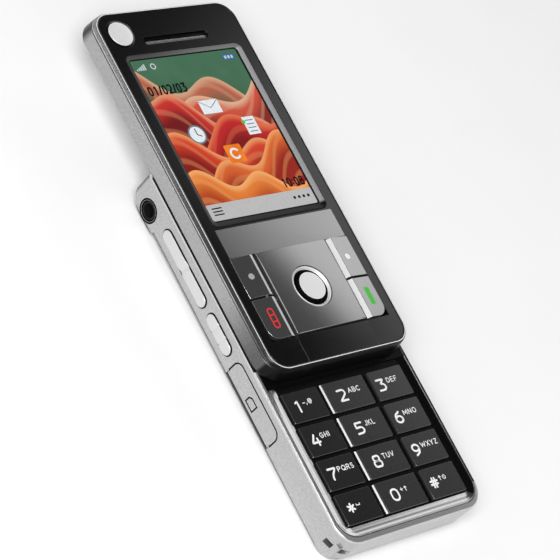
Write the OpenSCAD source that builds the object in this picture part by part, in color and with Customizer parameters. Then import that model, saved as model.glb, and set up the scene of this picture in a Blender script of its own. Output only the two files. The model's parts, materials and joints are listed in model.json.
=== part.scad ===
// Slider phone, shown slid open and lying on its back, display up.
// Two flat halves run over each other on a steel guide: the lower half
// carries the number keys, battery and camera, the upper half the display
// and the menu keys. +X is the right-hand side, +Y points to the earpiece,
// z = 0 is the surface that the camera ridge rests on.

/* [Body] */
// Width of both halves, without the side keys
body_w = 46.7; // [46.3:0.1:47.1]
// Length of each half
body_l = 99.5; // [99:0.1:100]
// Plan radius of the outer corners
corner_r = 6; // [5.6:0.1:6.4]
// Plan radius of the lower half's corners at the camera end
camera_end_r = 1.5; // [1.2:0.1:1.6]
// How far the upper half slides open
travel = 41.2; // [36:0.1:41.4]
// Wall of the lower housing
wall = 1.3; // [1.2:0.05:1.35]

/* [Levels above the rest surface] */
// Rear face of the lower half beside the camera ridge
z_rear = 1.4; // [1.35:0.01:1.45]
// Joint between the rear housing and the front rim
z_split = 10; // [9.98:0.01:10.01]
// Top of the front rim of the lower half
z_rim = 10.7; // [10.6:0.02:10.75]
// Underside of the upper half
z_under = 11; // [10.95:0.01:11.05]
// Front edge of the display half
z_face = 16; // [15.95:0.01:16.05]

/* [Number keys] */
// Width of the keys in the middle column
key_mid_w = 13; // [12.8:0.05:13.1]
// Width of the keys in the side columns
key_side_w = 11.06; // [10.8:0.02:11.1]
// Length of a key along the phone
key_l = 7.72; // [7.5:0.02:7.8]
// Distance from row to row
key_pitch = 8.74; // [8.7:0.02:8.8]
// Width of the groove between two columns
key_gap = 1.78; // [1.7:0.02:1.85]
// Height of the key tops
z_key = 10.8; // [10.7:0.02:10.85]

/* [Side parts] */
// Bore radius of the 3.5 mm headset socket
jack_r = 1.8; // [1.76:0.01:1.85]
// How far the side keys stand out of the wall
side_out = 0.45; // [0.3:0.05:0.6]

/* [Display half] */
// Width of the picture area
lcd_w = 33.5; // [33:0.1:34]
// Length of the picture area
lcd_l = 44.7; // [44:0.1:45]
// Radius of the select button
select_r = 3.9; // [3.6:0.05:3.95]

/* [Hidden] */
$fn = 48;
hx = body_w / 2;
hl = body_l / 2;
lo_y = -travel / 2;
up_y = travel / 2;
e = 0.01;
row_y = [-15.17, -15.17 - key_pitch, -15.17 - 2 * key_pitch, -15.17 - 3 * key_pitch];
col_x = (key_mid_w + key_side_w) / 2 + key_gap;
sk_z = 6.25;                 // height of the centre line of the side keys
jack_y = 42.92;
jack_z = 4.26;
lcd_y = 13.21;
nav_y = -30.7;
nav_c = -30.5;
screw_at = [[-18.9, 26.5], [18.9, 26.5], [18.9, -43.4]];

// ---- shared shapes -------------------------------------------------------
// corner points of a rounded rectangle, half sizes a and b, n steps a corner;
// rt is the radius of the two corners on the +y side where it differs
function rr(a, b, r, n = 8, rt = 0) = [for (q = [0:3]) let (sx = (q == 0 || q == 3) ? 1 : -1, sy = q < 2 ? 1 : -1, c = (q < 2 && rt > 0) ? rt : r)
  for (i = [0:n]) let (t = 90 * q + 90 * i / n) [sx * (a - c) + c * cos(t), sy * (b - c) + c * sin(t)]];

// flat plate with rounded plan corners between two heights
module plate(a, b, r, z0, z1, cy = 0, cx = 0, n = 8, rt = 0)
  translate([cx, cy, z0]) linear_extrude(z1 - z0) polygon(rr(a, b, r, n, rt));

// solid through rounded rectangles [a, b, r, z, cy, rt], lowest first
module loft(L, n = 8) {
  k = 4 * (n + 1);
  m = len(L);
  polyhedron(
    points = [for (s = L) for (p = rr(s[0], s[1], s[2], n, len(s) > 5 ? s[5] : 0)) [p[0], p[1] + (len(s) > 4 ? s[4] : 0), s[3]]],
    faces = concat([[for (i = [0:k - 1]) i]],
      [for (j = [0:m - 2]) for (i = [0:k - 1]) [j * k + i, (j + 1) * k + i, (j + 1) * k + (i + 1) % k, j * k + (i + 1) % k]],
      [[for (i = [k - 1:-1:0]) (m - 1) * k + i]]));
}

module box(x0, x1, y0, y1, z0, z1) translate([x0, y0, z0]) cube([x1 - x0, y1 - y0, z1 - z0]);

// prism along X from a [y, z] outline, and along Y from an [x, z] outline
module along_x(x0, x1, pts) translate([x0, 0, 0]) rotate([90, 0, 90]) linear_extrude(x1 - x0) polygon(pts);
module along_y(y0, y1, pts) translate([0, y1, 0]) rotate([90, 0, 0]) linear_extrude(y1 - y0) polygon(pts);

// pill standing on a side wall, long along Y
module pill_x(x0, x1, y0, y1, zc, r)
  translate([0, (y0 + y1) / 2, zc]) along_x(x0, x1, rr((y1 - y0) / 2, r, r - e, 8));

module rod_x(x0, x1, y, z, r) translate([x0, y, z]) rotate([0, 90, 0]) cylinder(h = x1 - x0, r = r);
module rod_y(y0, y1, x, z, r) translate([x, y0, z]) rotate([-90, 0, 0]) cylinder(h = y1 - y0, r = r);

module lo() translate([0, lo_y, 0]) children();
module up() translate([0, up_y, 0]) children();

// ---- outer form of the lower half ----------------------------------------
// side outline: rounded foot, flat back, camera ridge near the top end
ridge = [[38.2, z_rear + 0.3], [38.4, z_rear], [39.2, 1.3], [40, 1.02], [40.8, 0.62], [41.5, 0.26], [42.2, 0.06], [43, 0],
  [43.8, 0.12], [44.6, 0.42], [45.6, 0.94], [46.8, 1.7], [47.9, 2.55], [48.8, 3.45], [49.4, 4.5], [hl, 5.8]];
side_outline = concat(
  [for (t = [0:15:90]) [-hl + 2.2 - 2.2 * cos(t), z_rear + 2.2 - 2.2 * sin(t)]],
  [[45.9, z_rear], [46.8, 1.7], [47.9, 2.55], [48.8, 3.45], [49.4, 4.5], [hl, 5.8], [hl, z_split], [-hl, z_split]]);
// cross outline with rounded rear edges, foot at z = b
function cross_outline(b, r) = concat(
  [for (t = [0:15:90]) [-hx + r - r * cos(t), b + r - r * sin(t)]],
  [for (t = [90:-15:0]) [hx - r + r * cos(t), b + r - r * sin(t)]],
  [[hx, z_split], [-hx, z_split]]);

module lower_outer() {
  intersection() {
    plate(hx, hl, corner_r, 0.5, z_split, n = 12, rt = camera_end_r);
    along_x(-30, 30, side_outline);
    along_y(-60, 60, cross_outline(z_rear, 1.2));
  }
  intersection() {
    plate(hx, hl, corner_r, -1, z_split, n = 12, rt = camera_end_r);
    along_x(-30, 30, concat(ridge, [[hl, 8], [38.2, 8]]));
    along_y(-60, 60, cross_outline(0, 1.8));
  }
}

// ---- lower half: fixed parts ---------------------------------------------
module rear_housing() color("silver") lo() difference() {
  union() {
    difference() {
      lower_outer();
      plate(hx - wall, hl - wall, corner_r - wall, 3.1, z_split + 1);
    }
    box(-22.2, -16, -48.6, -42.6, 3, 7.4);                     // corner block around the strap eyelet
    for (p = screw_at) translate([p[0], p[1], 2.9]) cylinder(h = 3.4, r = 2.1);
    rod_x(-22.3, -8.2, jack_y, jack_z, 3.7);
  }
  box(-21, 21, -51, 32, -1, 2.7);                              // bay of the battery cover
  box(-17.5, 17.5, -40.6, 12.6, 2.5, 3.2);                     // battery bay
  box(-8.6, 8.6, 14.4, 30.6, 2.5, 3.2);                        // opening over the card holder
  rod_x(-22.4, -8, jack_y, jack_z, 2.96);                      // seat of the headset socket
  rod_x(-24, -22.3, jack_y, jack_z, 3.1);
  translate([0, 43, -1]) cylinder(h = 6, r = 3.35);            // camera opening
  for (i = [0:4]) box(10.4 + 1.9 * i, 11.4 + 1.9 * i, 41.2, 44.9, -1, 3.2); // loudspeaker slots
  pill_x(-24, -22, 15.25, 36.45, sk_z, 1.92);                  // volume rocker
  pill_x(-24, -22, 2.35, 13.65, sk_z, 1.92);                   // side key
  pill_x(22, 24, -31.2, -19.8, sk_z, 1.92);                    // camera key
  translate([0, -10.05, 5.4]) along_x(-24, -22.6, rr(10.1, 2.85, 2.1)); // door recess, front corners round
  box(-24, -22.6, -20.15, 0.05, 2.2, 5);
  box(-24, -22.22, -20.15, 0.05, 2.2, 3.5);                    // groove of the door's pivot
  box(-24, -21.9, -17.6, -4.4, 6.45, 7.4);                     // card slot
  box(21.9, 24, 29.9, 37.9, 3.9, 6.7);                         // charging socket slot
  box(-24, -18.6, -47.1, -45, 4.9, 6.6);                       // strap eyelet, side and end
  box(-20.9, -18.6, -51, -45, 4.9, 6.6);
  for (p = screw_at) translate([p[0], p[1], 2]) {
    cylinder(h = 1.55, r = 1.6);
    cylinder(h = 6, r = 0.75);
  }
}

module lower_rim() color("gainsboro") lo() difference() {
  loft([[hx, hl, corner_r, z_split + 0.02, 0, camera_end_r], [hx, hl, corner_r, z_split + 0.14, 0, camera_end_r],
    [hx - 0.16, hl - 0.16, corner_r - 0.16, z_split + 0.44, 0, camera_end_r - 0.16],
    [hx - 0.42, hl - 0.42, corner_r - 0.42, z_rim, 0, camera_end_r - 0.42]], n = 12);
  plate(hx - 0.9, hl - 1.4, corner_r - 1.1, 9, 12);
}

module key_openings(c) for (r = [0:3]) for (k = [-1:1])
  plate((k == 0 ? key_mid_w : key_side_w) / 2 + c, key_l / 2 + c, 0.35, 9, 12, row_y[r], k * col_x, n = 3);

module front_cover() color("black") lo() difference() {
  union() {
    plate(hx - wall - 0.05, hl - wall - 0.05, corner_r - wall, 9.25, 10.02);
    plate(hx - 1.05, hl - 1.55, corner_r - 1.25, z_split, 10.05);
    plate(19.65, 18.8, 1.1, 9.9, 10.1, -26.75);
    intersection() {
      plate(hx - 1.05, hl - 1.55, corner_r - 1.25, z_split, 10.55);
      box(-30, 30, -9.5, 60, 9, 12);
    }
  }
  key_openings(0.12);
  box(-4.6, 4.6, 1.2, 3, 9, 12);                               // passage of the flex
}

// shallow dish around the number keys, rising to the rim
module keypad_surround() color("silver") lo() difference() {
  plate(hx - 1.05, hl - 1.55, 4.75, 10.06, 10.66, n = 12);
  loft([[19.75, 45.65, 1.2, 9.9], [19.75, 45.65, 1.2, 10.16], [20.4, 46.3, 2.1, 10.2], [21, 46.9, 2.9, 10.29],
    [21.5, 47.4, 3.6, 10.41], [22.1, 48, 4.5, 10.66], [22.1, 48, 4.5, 11]], n = 12);
  box(-30, 30, -9.6, 60, 9, 12);
}

module keypad_trims() color("white") lo() for (r = [0:3]) for (s = [-1, 1])
  translate([0, row_y[r], 0]) along_y(-3.7, 3.7, [[s * (key_mid_w / 2 + 0.14), 10.1], [s * (key_mid_w / 2 + 1.0), 10.1],
    [s * (key_mid_w / 2 + 0.95), 10.2], [s * (key_mid_w / 2 + 0.3), 10.62], [s * (key_mid_w / 2 + 0.14), 10.62]]);

module key_mat() color("dimgray") lo() {
  plate(20.4, 17.9, 1.5, 7.78, 8.06, -28.1);
  for (r = [0:3]) for (k = [-1:1]) translate([k * col_x, row_y[r], 8]) cylinder(h = 0.24, r = 1.6);
}

module dome_sheet() color("khaki") lo() {
  plate(19.8, 17.4, 1, 7.52, 7.6, -28.1);
  for (r = [0:3]) for (k = [-1:1]) translate([k * col_x, row_y[r], 7.58]) cylinder(h = 0.13, r1 = 2.3, r2 = 1.2);
}

module main_board() color("darkgreen") lo() difference() {
  plate(21, 44.3, 3.5, 6.7, 7.5, 2.9);
  box(-22, -6.4, -19.2, -2.8, 6, 8);
  box(-22, -7.9, 38.9, 48, 6, 8);
  for (x = [-18.9, 18.9]) translate([x, 26.5, 6]) cylinder(h = 2, r = 0.9);
}

module shield_cans() color("lightgray") lo() for (x = [-14.5, 1.2]) difference() {
  box(x, x + 13.2, 15.4, 27.4, 4.6, 6.68);
  box(x + 0.25, x + 12.95, 15.65, 27.15, 4.85, 7);
}

module battery() color("lightslategray") lo() {
  plate(17.2, 26.1, 1.2, 2.8, 6.25, -14);
  for (x = [-3.2, 0, 3.2]) box(x - 0.8, x + 0.8, 12.05, 12.3, 3.6, 5.4);
}

module sim_holder() color("lightgray") lo() difference() {
  box(-8, 8, 15, 30, 3.15, 4.4);
  box(-7.4, 7.4, 14.9, 29, 3.5, 4.1);
  box(-5, 5, 18, 27, 3, 3.6);
}

module card_socket() color("lightgray") lo() difference() {
  box(-21.6, -7, -18.4, -3.6, 6.4, 7.45);
  box(-22, -8.4, -17, -5, 6.55, 7.3);
}

module camera_module() color("black") lo() {
  box(-4.2, 4.2, 38.9, 47.2, 3.4, 6.6);
  translate([0, 43, 1.7]) difference() {
    cylinder(h = 1.8, r = 2.9);
    translate([0, 0, -e]) cylinder(h = 0.7, r1 = 2.3, r2 = 1.2);
  }
}

module camera_window() color("black") lo() translate([0, 43, 0.75]) difference() {
  cylinder(h = 0.85, r = 3.25);
  translate([0, 0, -e]) cylinder(h = 0.25, r1 = 2.9, r2 = 2.6);
}

module loudspeaker() color("dimgray") lo() {
  plate(5.2, 4.1, 1, 3.3, 6.3, 43, 14.9);
  plate(4.4, 3.3, 1, 3.14, 3.32, 43, 14.9);
}

module vibration_motor() color("silver") lo() {
  rod_x(-17.4, -9.4, 34.2, 4.9, 1.7);
  rod_x(-9.4, -8.4, 34.2, 4.9, 0.4);
  intersection() {
    rod_x(-8.4, -5.6, 34.2, 4.9, 1.6);
    box(-9, -5, 30, 40, 3, 4.9);
  }
}

module headset_jack() color("dimgray") lo() difference() {
  union() {
    rod_x(-22.28, -8.8, jack_y, jack_z, 2.9);
    rod_x(-23.2, -22, jack_y, jack_z, 2.15);
  }
  rod_x(-24, -9.5, jack_y, jack_z, jack_r);
}

module jack_ring() color("black") lo() difference() {
  rod_x(-23.45, -22.36, jack_y, jack_z, 3.04);
  rod_x(-24, -22, jack_y, jack_z, 2.22);
  translate([-23.46, jack_y, jack_z]) rotate([0, 90, 0]) cylinder(h = 0.5, r1 = 2.75, r2 = 2.2);
}

module usb_socket() color("silver") lo() difference() {
  box(16.6, 23.2, 30.15, 37.65, 4.05, 6.55);
  box(17.6, 24, 30.45, 37.35, 4.35, 5.15);
  box(17.6, 24, 30.45, 37.35, 5.75, 6.25);
  box(22.4, 24, 30.45, 37.35, 4.35, 6.25);
}

module antenna() color("goldenrod") lo() difference() {
  box(-15, 16.2, -47.6, -42.2, 5.6, 6.5);
  box(-14.4, 15.6, -47, -42.8, 5.5, 6.1);
}

// steel guide: two overhanging rails on a foot, joined by bars at both ends
module guide_plate() color("darkgray") lo() {
  for (s = [-1, 1]) along_y(-2.8, 45.2, [[s * 9.5, 10.55], [s * 12.5, 10.55], [s * 12.5, 11.7],
    [s * 15, 11.7], [s * 15, 12.1], [s * 9.5, 12.1]]);
  for (y = [-2.8, 43.2]) box(-9.5 - e, 9.5 + e, y, y + 2, 10.55, 11.9);
}

// two flat torsion springs beside the guide's rails
module slide_springs() color("lightsteelblue") lo() for (s = [-1, 1]) translate([s * 6.6, 20, 0]) {
  translate([0, 0, 10.75]) rotate_extrude() translate([1.65, 0]) square([0.5, 0.9]);
  rod_y(0, 22.4, -s * 1.9, 11, 0.2);
  rod_y(-12, 0, s * 1.9, 11.35, 0.2);
}

// flat flex: leaves the board, runs up through the cover and folds back
module main_flex() color("orange") lo() along_x(-4, 4,
  [[2, 7.52], [2.14, 7.52], [2.14, 10.7], [34, 10.7], [34.5, 10.9], [34.7, 11.3], [34.5, 11.7], [34, 11.95],
   [15.2, 11.95], [15.2, 12.88], [15.06, 12.88], [15.06, 11.81], [34, 11.81], [34.4, 11.6], [34.56, 11.3],
   [34.4, 11], [34, 10.84], [2, 10.84]]);

module housing_screws() color("dimgray") lo() for (p = screw_at)
  translate([p[0], p[1], 2.76]) difference() {
    union() { cylinder(h = 0.75, r = 1.5); cylinder(h = 4.2, r = 0.7); }
    translate([0, 0, -e]) cylinder(h = 0.4, r = 0.65, $fn = 6);
  }

// ---- lower half: parts that move -----------------------------------------
module battery_cover() color("silver") lo() difference() {
  intersection() {
    lower_outer();
    box(-20.9, 20.9, -51, 31.9, -1, 2.6);
  }
  for (i = [0:5]) box(-7, 7, 22 + 1.1 * i, 22.5 + 1.1 * i, 0, z_rear + 0.3);  // finger grip
}

module card_door() color("silver") lo() {
  difference() {
    union() {
      intersection() {
        translate([0, -10.05, 5.4]) along_x(-hx, -22.75, rr(10, 2.75, 2));
        box(-24, -22, -21, 1, 3.6, 9);
      }
      box(-hx, -22.75, -20.05, -0.05, 2.95, 3.7);
      rod_y(-20.05, -0.05, -22.8, 2.95, 0.42);
    }
    // fine cut outline of a memory card
    difference() {
      translate([0, -9.7, 5]) along_x(-24, -hx + 0.12, [[-1.7, -1.3], [1.7, -1.3], [1.7, 0.5], [0.9, 1.3], [-1.7, 1.3]]);
      translate([0, -9.7, 5]) along_x(-24.1, -hx + 0.2, [[-1.35, -0.95], [1.35, -0.95], [1.35, 0.36], [0.76, 0.95], [-1.35, 0.95]]);
    }
  }
}

// side key cap: pill with a chamfered outer edge and a flange behind the wall
module side_cap(y0, y1) {
  pill_x(-hx - side_out + 0.22, -22.1, y0, y1, sk_z, 1.65);
  pill_x(-hx - side_out + 0.08, -23, y0 + 0.1, y1 - 0.1, sk_z, 1.55);
  pill_x(-hx - side_out, -23, y0 + 0.28, y1 - 0.28, sk_z, 1.37);
  pill_x(-21.75, -21.4, y0 - 0.5, y1 + 0.5, sk_z, 2.15);
  pill_x(-22.2, -21.5, y0 + 0.3, y1 - 0.3, sk_z, 1.4);
}

module volume_rocker() color("silver") lo() difference() {
  side_cap(15.55, 36.15);
  translate([-hx - side_out - 0.35, 25.85, 0]) cylinder(h = 12, r = 0.85);
}

module side_key() color("silver") lo() difference() {
  side_cap(2.65, 13.35);
  for (y = [6.3, 9.7]) translate([-hx - side_out - 0.12, y, 0]) cylinder(h = 12, r = 0.3);
}

module camera_key() color("silver") lo() mirror([1, 0, 0]) side_cap(-30.9, -20.1);

// number key: cap with a fine edge, wider foot under the cover
module num_key(r, k) color([0.16, 0.16, 0.17]) lo() translate([k * col_x, row_y[r], 0]) {
  a = (k == 0 ? key_mid_w : key_side_w) / 2;
  loft([[a, key_l / 2, 0.3, 8.9], [a, key_l / 2, 0.3, z_key - 0.14], [a - 0.12, key_l / 2 - 0.12, 0.2, z_key]], n = 3);
  plate(a + 0.3, key_l / 2 + 0.3, 0.4, 8.62, 9.1, n = 3);
}

// ---- upper half ----------------------------------------------------------
module slider_shell() color("silver") up() difference() {
  loft([[hx - 0.25, hl - 0.25, corner_r - 0.25, z_under], [hx - 0.07, hl - 0.07, corner_r - 0.07, z_under + 0.12],
    [hx, hl, corner_r, z_under + 0.35], [hx - 0.02, hl - 0.02, corner_r - 0.02, z_under + 0.7],
    [hx - 0.65, hl - 0.45, corner_r - 0.6, 14.7]], n = 12);
  plate(21.6, 48.2, 4.4, 11.9, 16);
  box(-16.1, 16.1, -46.3, 47, 10, 12);
}

module slider_frame() color("slategray") up() difference() {
  union() {
    loft([[22.58, 49.24, 5.3, 14.86], [22.62, 49.28, 5.34, 15], [22.3, 49.08, 5.1, 15.62], [21.98, 48.9, 4.8, 15.93], [21.86, 48.8, 4.7, z_face]], n = 12);
    plate(21.55, 48.15, 4.35, 12.7, 15);                       // skirt inside the shell
  }
  plate(21.5, 48.45, 4.35, 15, 17, n = 12);
  plate(20.4, 47, 3.3, 12, 17);
}

module front_panel() color([0.02, 0.02, 0.02]) up() difference() {
  union() {
    plate(21.4, 48.35, 4.25, 15, z_face - 0.04, n = 12);
    box(-19.7, 19.7, -42.5, -18.9, 14.15, 15.1);
  }
  plate(18.5, 24.17, 2.05, 14, 17, 12.68);
  box(-18.95, 18.95, -41.75, -19.4, 14.45, 17);
  box(-8, 8, nav_y - 8, nav_y + 8, 14, 15);
  plate(10.2, 1.15, 1.1, 14, 17, 40.25);
  translate([-15.85, 42.95, z_face - 0.4]) cylinder(h = 2, r = 3.95);
  for (x = [-11.3, 11.3]) box(x - 0.06, x + 0.06, -48.6, -41.95, z_face - 0.3, 17);
}

module display_ring() color("gray") up() difference() {
  plate(18.42, 24.09, 1.97, 15.12, z_face - 0.03, 12.68);
  loft([[lcd_w / 2 + 0.1, lcd_l / 2 + 0.1, 0.4, 15.05, lcd_y], [lcd_w / 2 + 0.1, lcd_l / 2 + 0.1, 0.4, 15.22, lcd_y],
    [18.12, 23.8, 1.67, z_face, 12.68]]);
}

module display_panel() color([0.05, 0.05, 0.06]) up() plate(17.9, 23.6, 0.6, 14, 15.08, 12.75);

module display_frame() color("lightgray") up() difference() {
  plate(18.4, 24.4, 0.8, 12.6, 14.6, 12.4);
  plate(18.05, 24.05, 0.6, 13.3, 15, 12.4);
}

module key_board() color("darkgreen") up() {
  plate(20, 13.4, 1, 12.9, 13.4, -30.6);
  for (x = [-18.5, 18.5], y = [-19, -42]) translate([x, y, 12.6]) cylinder(h = 0.4, r = 0.9);
  for (p = [[-15.5, -25.1], [-15.5, -36.3], [15.5, -25.1], [15.5, -36.3], [0, nav_y], [0, nav_y + 8], [0, nav_y - 8]])
    translate([p[0], p[1], 13.38]) cylinder(h = 0.2, r1 = 2.2, r2 = 1.2);
}

// sliding plate: runs in the upper half and grips the guide's rails
module slide_plate() color("darkgray") up() difference() {
  union() {
    box(-15.9, 15.9, -46, 46.7, 12.2, 12.6);
    for (s = [-1, 1]) along_y(-46, 46.7, [[s * 13, 11.1], [s * 15.9, 11.1], [s * 15.9, 12.3], [s * 15.15, 12.3], [s * 15.15, 11.6], [s * 13, 11.6]]);
    for (y = [-30, 0, 30]) box(-19.5, 19.5, y - 2.5, y + 2.5, 11.9, 12.6);
  }
  for (y = [-30, 0, 30]) box(-15.15, 15.15, y - 3, y + 3, 11.7, 12.2);
  box(-4.6, 4.6, -27.3, -24.8, 12, 13);
}

module earpiece_mesh() color("silver") up() plate(9.9, 0.9, 0.85, 15.25, 15.5, 40.25);

module earpiece() color("dimgray") up() plate(7, 3, 1.2, 13.1, 14.9, 41.3);

module badge_disc() color("whitesmoke") up() translate([-15.85, 42.95, z_face - 0.36]) {
  cylinder(h = 0.4, r = 3.82);
  cylinder(h = 0.5, r = 3.62);
}

// pivot ring under the navigation plate
module nav_carrier() color("gray") up() translate([0, nav_y, 14.15]) difference() {
  union() {
    cylinder(h = 0.57, r = 5.5);
    box(-7.2, 7.2, -0.9, 0.9, 0, 0.57);
  }
  translate([0, 0, -1]) cylinder(h = 3, r = 4.25);
}

module nav_plate() color([0.25, 0.25, 0.26]) up() difference() {
  loft([[11.07, 10.95, 0.4, 14.95, nav_c], [11.07, 10.95, 0.4, 16.64, nav_c], [10.95, 10.83, 0.3, 16.77, nav_c]], n = 4);
  translate([0, nav_y, 14]) cylinder(h = 4, r = 4.08);
  translate([0, nav_y, 15.7]) cylinder(h = 2, r = 5.32);         // seat of the dished ring
}

// bright dish that runs down from the plate to the select key
module select_ring() color("whitesmoke") up() translate([0, nav_y, 0]) difference() {
  translate([0, 0, 15.72]) cylinder(h = 1.1, r = 5.3);
  translate([0, 0, 15]) cylinder(h = 2, r = 4.05);
  translate([0, 0, 15.9]) cylinder(h = 0.6, r1 = 4.04, r2 = 4.72);
  translate([0, 0, 16.49]) cylinder(h = 0.34, r1 = 4.71, r2 = 5.22);
}

module select_key() color("silver") up() translate([0, nav_y, 0]) {
  translate([0, 0, 15]) cylinder(h = 1.9, r = select_r);
  translate([0, 0, 16.88]) cylinder(h = 0.18, r1 = select_r - 0.02, r2 = select_r - 0.45);
}

// menu key: low at the outer edge, rising inwards, ending in a bright flank
module menu_key(y0, y1, cut) up() difference() {
  along_y(y0, y1, [[-18.8, 14.95], [-18.8, 16.1], [-18.72, 16.14], [-13.15, 16.7], [-13.05, 16.69], [-11.85, 16.08], [-11.85, 14.95]]);
  if (cut) translate([-18.8, y0, 14]) difference() {
    box(-1, 3, -1, 3, 0, 4);
    translate([3, 3, -1]) cylinder(h = 6, r = 3);
    }
}
module soft_key_left() color([0.25, 0.25, 0.26]) menu_key(-30.4, -19.7, false);
module soft_key_right() color([0.25, 0.25, 0.26]) mirror([1, 0, 0]) menu_key(-30.4, -19.7, false);
module end_key() color([0.25, 0.25, 0.26]) menu_key(-41.5, -31, true);
module send_key() color([0.25, 0.25, 0.26]) mirror([1, 0, 0]) menu_key(-41.5, -31, true);

rear_housing();
lower_rim();
front_cover();
keypad_surround();
keypad_trims();
key_mat();
dome_sheet();
main_board();
shield_cans();
battery();
sim_holder();
card_socket();
camera_module();
camera_window();
loudspeaker();
vibration_motor();
headset_jack();
jack_ring();
usb_socket();
antenna();
guide_plate();
slide_springs();
main_flex();
housing_screws();
battery_cover();
card_door();
volume_rocker();
side_key();
camera_key();
num_key(0, -1);  // key_1
num_key(0, 0);  // key_2
num_key(0, 1);  // key_3
num_key(1, -1);  // key_4
num_key(1, 0);  // key_5
num_key(1, 1);  // key_6
num_key(2, -1);  // key_7
num_key(2, 0);  // key_8
num_key(2, 1);  // key_9
num_key(3, -1);  // key_star
num_key(3, 0);  // key_0
num_key(3, 1);  // key_hash
slider_shell();
slider_frame();
front_panel();
display_ring();
display_panel();
display_frame();
key_board();
slide_plate();
earpiece_mesh();
earpiece();
badge_disc();
nav_carrier();
nav_plate();
select_ring();
select_key();
soft_key_left();
soft_key_right();
end_key();
send_key();
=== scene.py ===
import bpy
import bmesh
import json
import math
from mathutils import Matrix, Vector


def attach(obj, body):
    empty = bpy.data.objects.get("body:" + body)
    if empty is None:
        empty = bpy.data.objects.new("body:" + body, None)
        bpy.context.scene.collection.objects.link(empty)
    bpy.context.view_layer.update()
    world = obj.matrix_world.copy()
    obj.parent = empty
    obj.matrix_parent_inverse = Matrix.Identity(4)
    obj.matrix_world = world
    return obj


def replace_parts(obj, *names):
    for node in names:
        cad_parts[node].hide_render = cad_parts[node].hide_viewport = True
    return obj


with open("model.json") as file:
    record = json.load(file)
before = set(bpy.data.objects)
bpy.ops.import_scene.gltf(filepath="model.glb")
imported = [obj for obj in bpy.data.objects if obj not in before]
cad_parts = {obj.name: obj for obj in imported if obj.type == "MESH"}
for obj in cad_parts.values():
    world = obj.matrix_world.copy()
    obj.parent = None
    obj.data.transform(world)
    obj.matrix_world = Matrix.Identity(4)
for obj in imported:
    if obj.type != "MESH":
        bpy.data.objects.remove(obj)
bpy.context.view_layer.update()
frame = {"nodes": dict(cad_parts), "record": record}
NODES = frame["nodes"]
BODY = {}
for _b, _ns in frame["record"]["behaviour"]["bodies"].items():
    for _n in _ns:
        BODY[_n] = _b
SLOT = {s["node"]: s["material_slot"] for s in frame["record"]["subparts"]}
MM = 0.001
UP = 20.6            # centre of the upper half along Y, mm
LO = -20.6           # centre of the lower half
coll = bpy.context.scene.collection


# ------------------------------------------------------------------ camera
def make_camera():
    cam = bpy.data.cameras.new("photo_camera")
    cam.sensor_fit = "HORIZONTAL"
    cam.sensor_width = 36.0
    cam.lens = 160.56
    cam.clip_start = 0.01
    cam.clip_end = 30.0
    o = bpy.data.objects.new("photo_camera", cam)
    coll.objects.link(o)
    ax = Vector((0.7229598, -0.4499725, 0.5242650))
    ay = Vector((0.1548030, 0.8450343, 0.5118135))
    az = Vector((-0.6733239, -0.2888628, 0.6805830))
    m = Matrix.Identity(4)
    for i in range(3):
        m[i][0], m[i][1], m[i][2] = ax[i], ay[i], az[i]
    m[0][3], m[1][3], m[2][3] = -0.394393, -0.172601, 0.406985
    o.matrix_world = m
    bpy.context.scene.camera = o


make_camera()


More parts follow.
